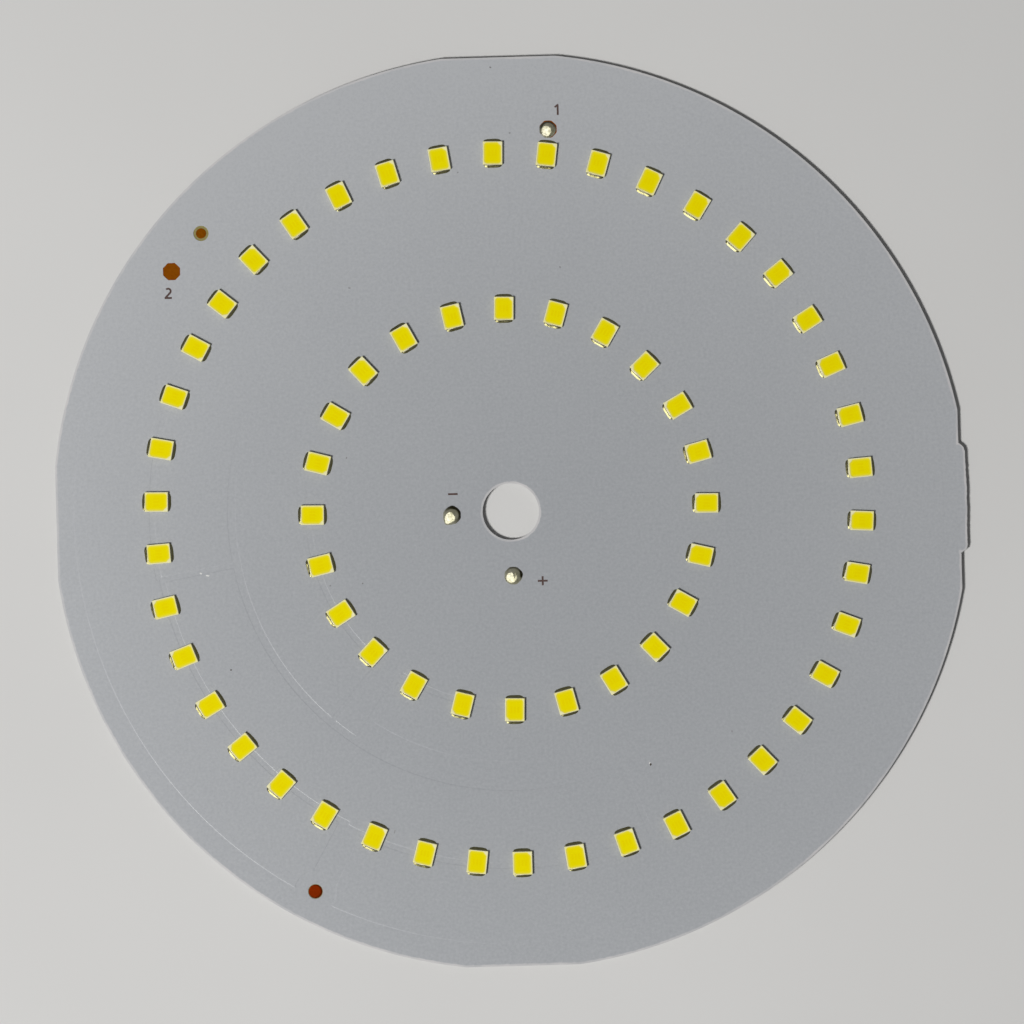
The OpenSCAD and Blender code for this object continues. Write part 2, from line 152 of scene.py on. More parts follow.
def make(name, verts, faces, material, replaces=(), attrs=None, angle=35.0, rides=True):
    """A mesh object from vertices in millimetres. faces is a list of index lists."""
    me = bpy.data.meshes.new(name)
    me.from_pydata((np.asarray(verts, float) * MM).tolist(), [],
                   [list(map(int, f)) for f in faces])
    me.validate()
    me.update()
    for key, values in (attrs or {}).items():
        values = np.asarray(values, np.float32)
        if values.ndim == 1:
            a = me.attributes.new(key, "FLOAT", "POINT")
            a.data.foreach_set("value", values)
        else:
            a = me.attributes.new(key, "FLOAT_VECTOR", "POINT")
            a.data.foreach_set("vector", values.ravel())
    me.polygons.foreach_set("use_smooth", [True] * len(me.polygons))
    if angle < 180:
        me.set_sharp_from_angle(angle=math.radians(angle))
    ob = bpy.data.objects.new(name, me)
    bpy.context.scene.collection.objects.link(ob)
    if material is not None:
        me.materials.append(material)
    if rides:
        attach(ob, "root")
        if replaces:
            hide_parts(*replaces)
    return ob


class Soup:
    """Gathers copies of small meshes into one."""

    def __init__(self):
        self.v, self.f, self.n, self.a = [], [], 0, {}

    def add(self, v, f, **attrs):
        v = np.asarray(v, float)
        self.v.append(v)
        self.f += [[i + self.n for i in q] for q in f]
        self.n += len(v)
        for k, x in attrs.items():
            x = np.asarray(x, float)
            if x.ndim == 0:
                x = np.full(len(v), float(x))
            self.a.setdefault(k, []).append(x)

    def make(self, name, material, slot, replaces=(), angle=35.0):
        return make(name, np.concatenate(self.v), self.f, material, replaces,
                    {k: np.concatenate(x) for k, x in self.a.items()}, angle)


def place_led(v, ring, k, way, turned=True):
    t, x, y = led_place(ring, k, way, turned)
    q = rot(v[:, :2], t)
    return np.stack([q[:, 0] + x, q[:, 1] + y, v[:, 2] + Z_LED], 1)


def filleted(points, radii, n=5):
    """A closed outline with its corners rounded, n + 1 points a corner."""
    out = []
    m = len(points)
    for i, p in enumerate(points):
        p = np.array(p, float)
        a = np.array(points[i - 1], float) - p
        b = np.array(points[(i + 1) % m], float) - p
        a /= np.linalg.norm(a)
        b /= np.linalg.norm(b)
        phi = math.acos(float(np.clip(a @ b, -1, 1)))
        r = radii[i]
        t = r / math.tan(phi / 2)
        h = (a + b) / np.linalg.norm(a + b)
        c = p + h * (r / math.sin(phi / 2))
        s, e = p + a * t - c, p + b * t - c
        s0 = math.atan2(s[1], s[0])
        d = (math.atan2(e[1], e[0]) - s0 + math.pi) % (2 * math.pi) - math.pi
        for j in range(n + 1):
            w = s0 + d * j / n
            out.append(c + r * np.array([math.cos(w), math.sin(w)]))
    return np.array(out)


def loft(loops, cap_first=True, cap_last=True):
    """Quads between closed loops of equal count, and flat ends."""
    n = len(loops[0])
    v = np.concatenate(loops)
    f = []
    for i in range(len(loops) - 1):
        for j in range(n):
            k = (j + 1) % n
            f.append([i * n + j, i * n + k, (i + 1) * n + k, (i + 1) * n + j])
    if cap_first:
        f.append(list(range(n - 1, -1, -1)))
    if cap_last:
        f.append([(len(loops) - 1) * n + j for j in range(n)])
    return v, f


def at_z(p, z):
    return np.concatenate([p, np.full((len(p), 1), float(z))], 1)


# ---------------------------------------------------------------- material helpers


class Mat:
    """A node material. Object coordinates are the row frame's, in metres."""

    def __init__(self, name):
        self.m = bpy.data.materials.new(name)
        self.m.use_nodes = True
        self.nt = self.m.node_tree
        self.b = self.nt.nodes["Principled BSDF"]
        self.tc = self.nt.nodes.new("ShaderNodeTexCoord")

    def node(self, kind, **props):
        n = self.nt.nodes.new(kind)
        for k, v in props.items():
            setattr(n, k, v)
        return n

    def link(self, a, b):
        self.nt.links.new(a, b)

    def put(self, socket, value):
        if isinstance(value, (int, float)):
            socket.default_value = value
        elif isinstance(value, (tuple, list)):
            socket.default_value = (*value, 1.0) if len(value) == 3 and socket.type == "RGBA" else value
        else:
            self.link(value, socket)

    def attr(self, name):
        n = self.node("ShaderNodeAttribute", attribute_name=name)
        return n

    def noise(self, scale, detail=2.0, rough=0.5, stretch=None, w=None, vector=None):
        n = self.node("ShaderNodeTexNoise")
        if w is not None:
            n.noise_dimensions = "4D"
            n.inputs["W"].default_value = w
        src = vector if vector is not None else self.tc.outputs["Object"]
        if stretch is not None:
            mp = self.node("ShaderNodeMapping")
            mp.inputs["Scale"].default_value = stretch[:3]
            if len(stretch) > 3:
                mp.inputs["Rotation"].default_value = (0, 0, math.radians(stretch[3]))
            self.link(src, mp.inputs["Vector"])
            src = mp.outputs["Vector"]
        self.link(src, n.inputs["Vector"])
        n.inputs["Scale"].default_value = scale
        n.inputs["Detail"].default_value = detail
        n.inputs["Roughness"].default_value = rough
        return n.outputs["Fac"]

    def voronoi(self, scale, feature="F1", rand=1.0):
        n = self.node("ShaderNodeTexVoronoi", feature=feature)
        self.link(self.tc.outputs["Object"], n.inputs["Vector"])
        n.inputs["Scale"].default_value = scale
        n.inputs["Randomness"].default_value = rand
        return n.outputs["Distance"]

    def math(self, op, a, b=0.5, c=None, clamp=False):
        n = self.node("ShaderNodeMath", operation=op, use_clamp=clamp)
        self.put(n.inputs[0], a)
        self.put(n.inputs[1], b)
        if c is not None:
            self.put(n.inputs[2], c)
        return n.outputs[0]

    def remap(self, x, a, b, lo=0.0, hi=1.0, smooth=False):
        n = self.node("ShaderNodeMapRange", interpolation_type="SMOOTHSTEP" if smooth else "LINEAR")
        self.put(n.inputs["Value"], x)
        n.inputs["From Min"].default_value = a
        n.inputs["From Max"].default_value = b
        n.inputs["To Min"].default_value = lo
        n.inputs["To Max"].default_value = hi
        return n.outputs["Result"]

    def mix(self, fac, a, b, blend="MIX"):
        n = self.node("ShaderNodeMix", data_type="RGBA", blend_type=blend)
        self.put(n.inputs[0], fac)
        self.put(n.inputs[6], a)
        self.put(n.inputs[7], b)
        return n.outputs[2]

    def ramp(self, x, stops):
        n = self.node("ShaderNodeValToRGB")
        e = n.color_ramp.elements
        while len(e) < len(stops):
            e.new(0.5)
        for i, (p, c) in enumerate(stops):
            e[i].position = p
            e[i].color = (*c, 1.0)
        self.put(n.inputs["Fac"], x)
        return n.outputs["Color"]

    def bump(self, height, strength, distance, normal=None):
        n = self.node("ShaderNodeBump")
        n.inputs["Strength"].default_value = strength
        n.inputs["Distance"].default_value = distance
        self.link(height, n.inputs["Height"])
        if normal is not None:
            self.link(normal, n.inputs["Normal"])
        return n.outputs["Normal"]

    def done(self, base=None, rough=None, normal=None, metal=None, **plain):
        if base is not None:
            self.put(self.b.inputs["Base Color"], base)
        if rough is not None:
            self.put(self.b.inputs["Roughness"], rough)
        if metal is not None:
            self.put(self.b.inputs["Metallic"], metal)
        if normal is not None:
            self.link(normal, self.b.inputs["Normal"])
        for k, v in plain.items():
            self.b.inputs[k.replace("_", " ")].default_value = v
        return self.m


# ---------------------------------------------------------------- materials

# White mask: satin, finely grained, a little mottled, paler on the strip of
# crazed laminate that the punch left along the outline and round the hole
m = Mat("white_mask")
grain = m.noise(5200, 3.0, 0.62)
mottle = m.noise(75, 4.0, 0.55)
speckle = m.noise(2400, 2.0, 0.6)
cloud = m.noise(17, 2.0, 0.5)
edge = m.attr("edge").outputs["Fac"]
grain_and_painted_falloff = m.math("ADD", m.remap(grain, 0.2, 0.8, -0.085, 0.085), m.remap(mottle, 0.2, 0.8, -0.030, 0.030))
grain_and_painted_falloff = m.math("ADD", grain_and_painted_falloff, m.remap(cloud, 0.25, 0.75, -0.012, 0.012))
grain_and_painted_falloff = m.math("ADD", grain_and_painted_falloff, m.remap(speckle, 0.2, 0.8, -0.20, 0.20))
# painted light: the coat is made paler outwards, to the top and to the left, standing in for the lamps' light falling
# off over the board
pos = m.node("ShaderNodeSeparateXYZ")
m.link(m.tc.outputs["Object"], pos.inputs["Vector"])
out2 = m.math("ADD", m.math("POWER", pos.outputs["X"], 2.0), m.math("POWER", pos.outputs["Y"], 2.0))
grain_and_painted_falloff = m.math("ADD", grain_and_painted_falloff, m.math("MULTIPLY_ADD", out2, 0.30 / 0.0036, -0.09))
grain_and_painted_falloff = m.math("ADD", grain_and_painted_falloff, m.math("MULTIPLY", pos.outputs["Y"], 0.20 / 0.06))
grain_and_painted_falloff = m.math("ADD", grain_and_painted_falloff, m.math("MULTIPLY", pos.outputs["X"], -0.075 / 0.06))
base = m.mix(m.math("ADD", grain_and_painted_falloff, 0.5, clamp=True), (0.292, 0.306, 0.327), (0.466, 0.478, 0.497))
ragged = m.math("ADD", edge, m.remap(m.noise(900, 3.0, 0.6), 0.2, 0.8, -0.10, 0.10))
rim = m.remap(ragged, 0.20, 0.38, 1.0, 0.0, smooth=True)
rim = m.math("MULTIPLY", rim, m.remap(m.noise(260, 2.0), 0.3, 0.75, 0.35, 1.0))
base = m.mix(rim, base, (0.60, 0.585, 0.585))
scuff = m.remap(m.noise(330, 3.0, 0.7), 0.66, 0.78, 0.0, 0.35, smooth=True)
rough = m.math("ADD", m.remap(m.noise(1400, 3.0), 0.2, 0.8, 0.50, 0.58), m.math("MULTIPLY", scuff, 0.15))
slope = m.remap(m.attr("slope").outputs["Fac"], 0.25, 0.8, 0.0, 1.0)
rough = m.math("SUBTRACT", rough, m.math("MULTIPLY", slope, 0.21))
peel = m.bump(m.noise(1500, 2.0, 0.5), 0.12, 0.00002)
fine = m.bump(grain, 0.22, 0.000006, peel)
WHITE = m.done(base, rough, fine, Specular_IOR_Level=0.5)

# Insulating layer: glass-filled resin, cream to olive
m = Mat("insulation")
n1 = m.noise(3500, 3.0, 0.6)
n2 = m.noise(420, 3.0, 0.6)
base = m.mix(n2, (0.20, 0.17, 0.055), (0.31, 0.27, 0.105))
base = m.mix(m.remap(n1, 0.3, 0.7, 0.0, 0.35), base, (0.42, 0.38, 0.19))
LAMINATE = m.done(base, m.remap(n1, 0.2, 0.8, 0.4, 0.6), m.bump(n1, 0.3, 0.00002), Specular_IOR_Level=0.2)

# Aluminium plate: sheet with a rolled back, sheared sides
m = Mat("aluminium_plate")
sep = m.node("ShaderNodeSeparateXYZ")
geo = m.node("ShaderNodeNewGeometry")
m.link(geo.outputs["Normal"], sep.inputs["Vector"])
side = m.remap(m.math("ABSOLUTE", sep.outputs["Z"], 0.0), 0.35, 0.8, 1.0, 0.0)
rolled = m.noise(900, 4.0, 0.65, stretch=(0.06, 6.0, 1.0))
rolled2 = m.noise(160, 3.0, 0.6, stretch=(0.05, 4.0, 1.0))
shear = m.noise(2600, 3.0, 0.6, stretch=(1.0, 1.0, 0.10))
blotch = m.noise(55, 3.0, 0.5)
back = m.mix(m.remap(rolled, 0.25, 0.75), (0.47, 0.475, 0.48), (0.66, 0.665, 0.67))
back = m.mix(m.remap(blotch, 0.45, 0.8, 0.0, 0.30), back, (0.42, 0.42, 0.415))
cut = m.mix(m.remap(shear, 0.3, 0.7), (0.36, 0.36, 0.37), (0.72, 0.72, 0.73))
base = m.mix(side, back, cut)
rough = m.math("ADD", m.remap(rolled2, 0.2, 0.8, 0.30, 0.42), m.math("MULTIPLY", side, 0.10))
nb = m.bump(rolled, 0.25, 0.00001)
nb = m.bump(m.math("MULTIPLY", shear, side), 0.6, 0.00004, nb)
scratch = m.noise(500, 2.0, 0.5, stretch=(0.03, 5.0, 1.0, 37))
nb = m.bump(m.remap(scratch, 0.68, 0.74), 0.25, 0.00001, nb)
ALUMINIUM = m.done(base, rough, nb, metal=1.0)

# Copper foil, tarnished where it is bare
m = Mat("copper_foil")
n1 = m.noise(2200, 4.0, 0.6)
n2 = m.noise(420, 3.0, 0.6)
base = m.mix(m.remap(n1, 0.25, 0.75), (0.200, 0.050, 0.0008), (0.255, 0.071, 0.0013))
base = m.mix(m.remap(n2, 0.45, 0.8, 0.0, 0.45), base, (0.157, 0.036, 0.0010))
COPPER = m.done(base, m.remap(n1, 0.2, 0.8, 0.45, 0.60), m.bump(n1, 0.2, 0.00001), metal=0.0, Specular_IOR_Level=0.03)

# Copper dots, redder
m = Mat("copper_dots")
n1 = m.noise(3000, 4.0, 0.6)
n2 = m.noise(900, 3.0, 0.6)
px = m.node("ShaderNodeSeparateXYZ")
m.link(m.tc.outputs["Object"], px.inputs["Vector"])
low = m.remap(px.outputs["Y"], -0.01, 0.01, 1.0, 0.0)
base = m.mix(low, (0.213, 0.064, 0.0003), (0.238, 0.0225, 0.0003))
base = m.mix(m.remap(n1, 0.35, 0.8, 0.0, 0.5), base, (0.11, 0.014, 0.001))
base = m.mix(m.remap(n2, 0.55, 0.8, 0.0, 0.4), base, (0.30, 0.070, 0.002))
# tarnished darker round the larger dot's rim, most at its right
away = m.node("ShaderNodeVectorMath", operation="DISTANCE")
m.link(m.tc.outputs["Object"], away.inputs[0])
away.inputs[1].default_value = ((DOT_2[0] + ART[0] - 0.12) * MM, (DOT_2[1] + ART[1] + 0.05) * MM, Z_PAD * MM)
rim = m.remap(away.outputs["Value"], 0.00070, 0.00100, 0.0, 0.75, smooth=True)
base = m.mix(m.math("MULTIPLY", rim, low), base, (0.050, 0.006, 0.0006))
DOTS = m.done(base, m.remap(n1, 0.2, 0.8, 0.4, 0.6), m.bump(n2, 0.3, 0.00002), metal=0.0, Specular_IOR_Level=0.02)

# Ink
m = Mat("dark_ink")
n1 = m.noise(6000, 3.0, 0.6)
base = m.mix(m.remap(n1, 0.3, 0.7), (0.075, 0.048, 0.042), (0.125, 0.083, 0.075))
INK = m.done(base, m.remap(n1, 0.2, 0.8, 0.5, 0.65), m.bump(n1, 0.3, 0.000006), Specular_IOR_Level=0.15)

# Solder of the wire pads: grainy, with dull grains, bright where smooth, and painted shade on the side of each lump
# away from the light
m = Mat("wire_pad_solder")
n1 = m.noise(2600, 4.0, 0.65)
n2 = m.noise(800, 3.0, 0.6)
v1 = m.voronoi(3800)
base = m.mix(m.remap(n2, 0.3, 0.7), (0.46, 0.44, 0.28), (0.66, 0.64, 0.50))
base = m.mix(m.remap(n1, 0.5, 0.75, 0.0, 0.5), base, (0.24, 0.22, 0.11))
rough = m.math("ADD", m.remap(n1, 0.2, 0.8, 0.22, 0.36), m.math("MULTIPLY", v1, 0.1))
# painted shade: the dark attribute takes the colour nearly black on each lump's side away from the light, and in the
# plus lump's notch
base = m.mix(m.attr("dark").outputs["Fac"], base, (0.030, 0.026, 0.008))
nb = m.bump(n2, 0.10, 0.00006)
nb = m.bump(v1, 0.07, 0.00002, nb)
LUMPS = m.done(base, rough, nb, metal=0.74)

# Solder of the LEDs: smoother and brighter
m = Mat("led_solder")
n1 = m.noise(3300, 3.0, 0.6)
n2 = m.noise(1300, 2.0, 0.5)
base = m.mix(m.remap(n2, 0.3, 0.7), (0.37, 0.34, 0.15), (0.48, 0.45, 0.23))
base = m.mix(m.remap(n1, 0.55, 0.8, 0.0, 0.3), base, (0.22, 0.20, 0.075))
SOLDER = m.done(base, m.remap(n1, 0.2, 0.8, 0.17, 0.25), m.bump(n2, 0.05, 0.00004), metal=0.98)

# Tinned leads
m = Mat("led_leads")
n1 = m.noise(4200, 3.0, 0.6)
base = m.mix(m.remap(n1, 0.3, 0.7), (0.42, 0.39, 0.25), (0.58, 0.55, 0.40))
LEADS = m.done(base, m.remap(n1, 0.2, 0.8, 0.22, 0.38), m.bump(n1, 0.25, 0.00001), metal=1.0)

# Moulded cases: cream resin that the fill's yellow light tints towards the window
m = Mat("led_case")
n1 = m.noise(5200, 3.0, 0.6)
n2 = m.noise(500, 2.0, 0.5)
near = m.attr("near").outputs["Fac"]
base = m.mix(m.remap(n2, 0.3, 0.7), (0.84, 0.80, 0.46), (0.91, 0.87, 0.54))
base = m.mix(m.remap(near, 0.0, 0.16, 0.60, 0.0, smooth=True), base, (0.88, 0.79, 0.14))
base = m.mix(m.remap(n1, 0.55, 0.8, 0.0, 0.18), base, (0.66, 0.60, 0.30))
CASE = m.done(base, m.remap(n1, 0.2, 0.8, 0.4, 0.55), m.bump(n1, 0.2, 0.000008), Specular_IOR_Level=0.2)

# Phosphor fill: deep yellow silicone, paler near its edge, the three chips
# showing as faint warmer bars
m = Mat("phosphor")
loc = m.node("ShaderNodeSeparateXYZ")
m.link(m.attr("loc").outputs["Vector"], loc.inputs["Vector"])
near = m.attr("near").outputs["Fac"]
odd = m.attr("odd").outputs["Fac"]
ax = m.math("ABSOLUTE", loc.outputs["X"], 0.0)
inx = m.remap(ax, 0.36, 0.50, 1.0, 0.0, smooth=True)
wave_y = m.math("ABSOLUTE", m.math("WRAP", loc.outputs["Y"], 0.235, -0.235), 0.0)
iny = m.remap(wave_y, 0.10, 0.19, 1.0, 0.0, smooth=True)
iny = m.math("MULTIPLY", iny, m.remap(m.math("ABSOLUTE", loc.outputs["Y"], 0.0), 0.62, 0.68, 1.0, 0.0))
bars = m.math("MULTIPLY", inx, iny)
grit = m.noise(7000, 3.0, 0.65)
cloud = m.noise(700, 2.0, 0.5)
base = m.mix(m.remap(cloud, 0.3, 0.7), (0.862, 0.742, 0.0003), (0.888, 0.776, 0.0006))
base = m.mix(m.math("MULTIPLY", bars, 0.40), base, (0.845, 0.655, 0.0003))
base = m.mix(m.remap(near, 0.10, 0.45, 0.80, 0.0, smooth=True), base, (0.850, 0.758, 0.026))
base = m.mix(m.remap(near, 0.0, 0.20, 0.85, 0.0, smooth=True), base, (0.855, 0.770, 0.130))
base = m.mix(m.remap(grit, 0.55, 0.8, 0.0, 0.20), base, (0.76, 0.63, 0.001))
base = m.mix(m.remap(odd, 0.0, 1.0, 0.0, 0.30), base, (0.860, 0.690, 0.0004))
PHOSPHOR = m.done(base, m.remap(grit, 0.2, 0.8, 0.5, 0.65), m.bump(grit, 0.15, 0.000006), Specular_IOR_Level=0.02)

# Chips and bond wires, inside the fill
m = Mat("led_chips")
n1 = m.noise(8000, 2.0, 0.5)
base = m.mix(n1, (0.16, 0.26, 0.36), (0.26, 0.38, 0.48))
CHIPS = m.done(base, m.remap(n1, 0.2, 0.8, 0.15, 0.3), m.bump(n1, 0.1, 0.000004))
m = Mat("bond_wire")
n1 = m.noise(9000, 2.0, 0.5)
base = m.mix(n1, (0.72, 0.46, 0.13), (0.86, 0.60, 0.22))
WIRE = m.done(base, m.remap(n1, 0.2, 0.8, 0.2, 0.35), m.bump(n1, 0.1, 0.000003), metal=1.0)

# Specks of dirt and flux
m = Mat("dark_specks")
n1 = m.noise(9000, 3.0, 0.6)
base = m.mix(n1, (0.04, 0.034, 0.028), (0.12, 0.105, 0.09))
base = m.mix(m.attr("faint").outputs["Fac"], base, (0.33, 0.335, 0.345))
DARK = m.done(base, m.remap(n1, 0.2, 0.8, 0.5, 0.8), m.bump(n1, 0.5, 0.00001), Specular_IOR_Level=0.1)
m = Mat("pale_specks")
n1 = m.noise(9000, 3.0, 0.6)
PALE = m.done(m.mix(n1, (0.62, 0.62, 0.60), (0.85, 0.85, 0.82)), m.remap(n1, 0.2, 0.8, 0.3, 0.6), m.bump(n1, 0.5, 0.00001))

# ---------------------------------------------------------------- distance to the foil

MID_A, MID_B, MID_C = 36.25, 39.27, 39.57


def gap_r(ring, way):
    return ring_r(ring) + GAP_OUT - GAP_SHIFT * way


GI_P, GI_N, GO_P, GO_N = gap_r(0, 1), gap_r(0, -1), gap_r(1, 1), gap_r(1, -1)
# [sectors, bites, cuts, edges], as in the part's own foil table
FOIL = [
    [[[225, 330, 0, GI_P], [228, 235.15, 26, MID_B]], [], [[235.15, GI_P, 42]],
     [[229.4, -0.62, 1, 0, 45], [325.9, -3.3, -1, 0, 30]]],
    [[[235.15, 412.5, GI_P, MID_A]], [[322.5, 416, 0, GI_N]], [[235.15, 20, 40], [52.5, 20, 40]], []],
    [[[285, 506.4, 0, GI_N]], [[280, 322.5, GI_P, 0], [412.5, 510, GI_P, 0]], [[146.4, 0, 30]],
     [[325.9, -3.5, 1, 0, 30]]],
    [[[52.5, 142.5, GI_P, MID_A], [53.2, 57.5, MID_A - 3, MID_C + 3], [35.3, 85.6, MID_C, GO_P]], [],
     [[52.5, 20, MID_A], [35.3, 30, 52], [85.6, MID_A + 1, 52], [142.5, 20, 40]], []],
    [[[343.7, 445.6, GO_P, FOIL_R]], [[340, 395.3, 0, GO_N]], [[343.7, 45, 64], [85.6, 45, 64]], []],
    [[[292.1, 395.3, MID_C, GO_N]], [[288, 343.7, GO_P, 0]], [[292.1, 30, 52], [35.3, 30, 52]], []],
    [[[243.4, 343.7, GO_P, FOIL_R]], [[240, 292.1, 0, GO_N]], [[243.4, 45, 64], [343.7, 45, 64]], []],
    [[[190, 292.1, MID_C, GO_N]], [[186, 241.6, GO_P, 0]], [[190, 30, 52], [292.1, 30, 52]], []],
    [[[140, 240.4, GO_P, FOIL_R]], [[136, 190, 0, GO_N]], [[140, 45, 64], [240.4, 45, 64]], []],
    [[[88, 190, MID_C, GO_N]], [[84, 140, GO_P, 0]], [[88, 30, 52], [190, 30, 52]], []],
    [[[85.3, 140, GO_P, FOIL_R], [85.4, 88.3, MID_A + 1.2, GO_P + 4], [85.3, 229.4, GI_N, MID_B]],
     [[82, 142.5, 0, MID_A]],
     [[85.3, 30, 64], [140, 45, 64], [88.3, MID_B, GO_P], [142.5, 20, MID_A]],
     [[229.4, -0.455, -1, 20, 45]]],
    [[[146.2, 231, 0, GI_N]], [], [[146.2, 0, 30]], [[229.4, -0.34, -1, 0, 30]]],
]


def sector_angle(r, th, a0, a1):
    """Signed distance past the straight ends of a sector."""
    mid, half = math.radians((a0 + a1) / 2), math.radians((a1 - a0) / 2)
    over = np.abs((th - mid + np.pi) % (2 * np.pi) - np.pi) - half
    return np.where(np.abs(over) < np.pi / 2, r * np.sin(over), np.sign(over) * r)


def foil_distance(x, y):
    """Distance to the nearest foil island: negative over foil, positive in the gaps."""
    x, y = x - ART[0], y - ART[1]
    r, th = np.hypot(x, y), np.arctan2(y, x)
    e = 0.5
    best = np.full(np.shape(x), 99.0)
    for n, (sectors, bites, cuts, edges) in enumerate(FOIL):
        d = np.full(np.shape(x), 99.0)
        for a0, a1, r0, r1 in sectors:
            lo = FOIL_IN if r0 == 0 else r0 + e
            hi = FOIL_R if r1 == FOIL_R else r1 - e
            d = np.minimum(d, np.maximum(np.maximum(lo - r, r - hi), sector_angle(r, th, a0, a1)))
        for a0, a1, r0, r1 in bites:
            b = r - (r1 + e) if r0 == 0 else (r0 - e) - r
            d = np.maximum(d, -np.maximum(b, sector_angle(r, th, a0, a1)))
        for a, c0, c1 in cuts:
            u = cosd(a) * x + sind(a) * y
            w = -sind(a) * x + cosd(a) * y
            d = np.maximum(d, -np.maximum(np.maximum(np.abs(w) - e, c0 - u), u - c1))
        for a, off, keep, c0, c1 in edges:
            u = cosd(a) * x + sind(a) * y
            w = -sind(a) * x + cosd(a) * y
            g = w - (off + e) if keep > 0 else (off - e) - w
            d = np.maximum(d, -np.maximum(np.maximum(g, c0 - u), u - c1))
        if n == 10:
            d = np.maximum(d, 1.6 - np.hypot(x - DOT_1[0], y - DOT_1[1]))
        if n in (6, 8):
            d = np.maximum(d, 3.05 - np.hypot(x - DOT_2[0], y - DOT_2[1]))
        best = np.minimum(best, d)
    return best


# ---------------------------------------------------------------- the punched outline

TAB = [(0.02, -0.5), (0.35, -0.487), (0.85, -0.467), (0.98, -0.43), (0.96, -0.3), (1.02, -0.19),
       (1.08, -0.1), (1.03, -0.02), (1.1, 0.07), (1.02, 0.2), (0.97, 0.32), (0.94, 0.42),
       (0.8, 0.455), (0.5, 0.475), (0.02, 0.5)]
TAB_XY = [(TAB_FLAT + TAB_H * p[0], TAB_Y0 + TAB_W * p[1]) for p in TAB]


def outline_distance(x, y):
    """Signed distance to the outline, negative inside, with the tab's edge smoothed."""
    main = np.maximum.reduce([np.hypot(x, y) - BOARD_R, np.abs(y) - FLAT, -FLAT - x, x - TAB_FLAT])
    ys = np.array([p[1] for p in TAB_XY])
    xs = np.array([p[0] for p in TAB_XY])
    top = np.interp(y, ys, xs)
    tab = np.maximum.reduce([(x - top) * 0.97, y - ys[-1], ys[0] - y, 60.0 - x])
    return np.minimum(main, tab)


def build_outline():
    """The outline, counter-clockwise from the lower end of the flat with the tab."""
    a_tab = math.degrees(math.acos(TAB_FLAT / BOARD_R))
    a_flat = math.degrees(math.acos(FLAT / BOARD_R))
    pts = []
    y = -BOARD_R * sind(a_tab)
    for yy in np.arange(y, TAB_XY[0][1] - 0.3, 0.8):
        pts.append((TAB_FLAT, yy))
    # the torn edge of the stub, with its small teeth
    for i in range(len(TAB_XY) - 1):
        p, q = np.array(TAB_XY[i]), np.array(TAB_XY[i + 1])
        n = max(1, int(np.linalg.norm(q - p) / 0.16))
        for j in range(n):
            c = p + (q - p) * j / n
            w = min(1.0, max(0.0, (c[0] - TAB_FLAT) / 0.5))
            dx = noise.noise(Vector((c[1] * 2.3, 4.0, 1.0))) * 0.055 + noise.noise(Vector((c[1] * 7.0, 9.0, 2.0))) * 0.03
            pts.append((min(c[0] + w * dx, 64.80), c[1]))
    pts.append(TAB_XY[-1])
    y1 = BOARD_R * sind(a_tab)
    for yy in np.arange(TAB_XY[-1][1] + 0.5, y1 - 0.3, 0.8):
        pts.append((TAB_FLAT, yy))
    marks = [a_tab, 360 - a_tab]
    for c in (90, 180, 270):
        marks += [c - a_flat, c + a_flat]
    angles = sorted(set(list(np.arange(a_tab, 360 - a_tab, 0.6)) + marks[:1] + marks[2:]))
    last = -9
    for a in angles:
        if a - last < 0.12 and a not in marks:
            continue
        if a > 360 - a_tab - 0.2:
            continue
        last = a
        px_, py_ = BOARD_R * cosd(a), BOARD_R * sind(a)
        pts.append((max(px_, -FLAT), max(-FLAT, min(FLAT, py_))))
    out = [pts[0]]
    for p in pts[1:]:
        if math.dist(p, out[-1]) > 0.02:
            out.append(p)
    return np.array(out)


OUT = build_outline()
HOLE = np.array([(HOLE_R * cosd(a), HOLE_R * sind(a)) for a in np.arange(0, 360, 2.5)])


def inside(poly, p):
    """Which points p lie inside the closed polygon."""
    x, y = p[:, 0], p[:, 1]
    r = np.zeros(len(p), bool)
    for i in range(len(poly)):
        (x0, y0), (x1, y1) = poly[i - 1], poly[i]
        if y0 == y1:
            continue
        hit = ((y0 > y) != (y1 > y)) & (x < (x1 - x0) * (y - y0) / (y1 - y0) + x0)
        r ^= hit
    return r


def shifted(poly, d):
    """A closed polygon moved inwards by d along its normals (counter-clockwise)."""
    t = np.roll(poly, -1, 0) - np.roll(poly, 1, 0)
    t /= np.linalg.norm(t, axis=1)[:, None] + 1e-12
    return poly + np.stack([-t[:, 1], t[:, 0]], 1) * d


# ---------------------------------------------------------------- contours on a grid


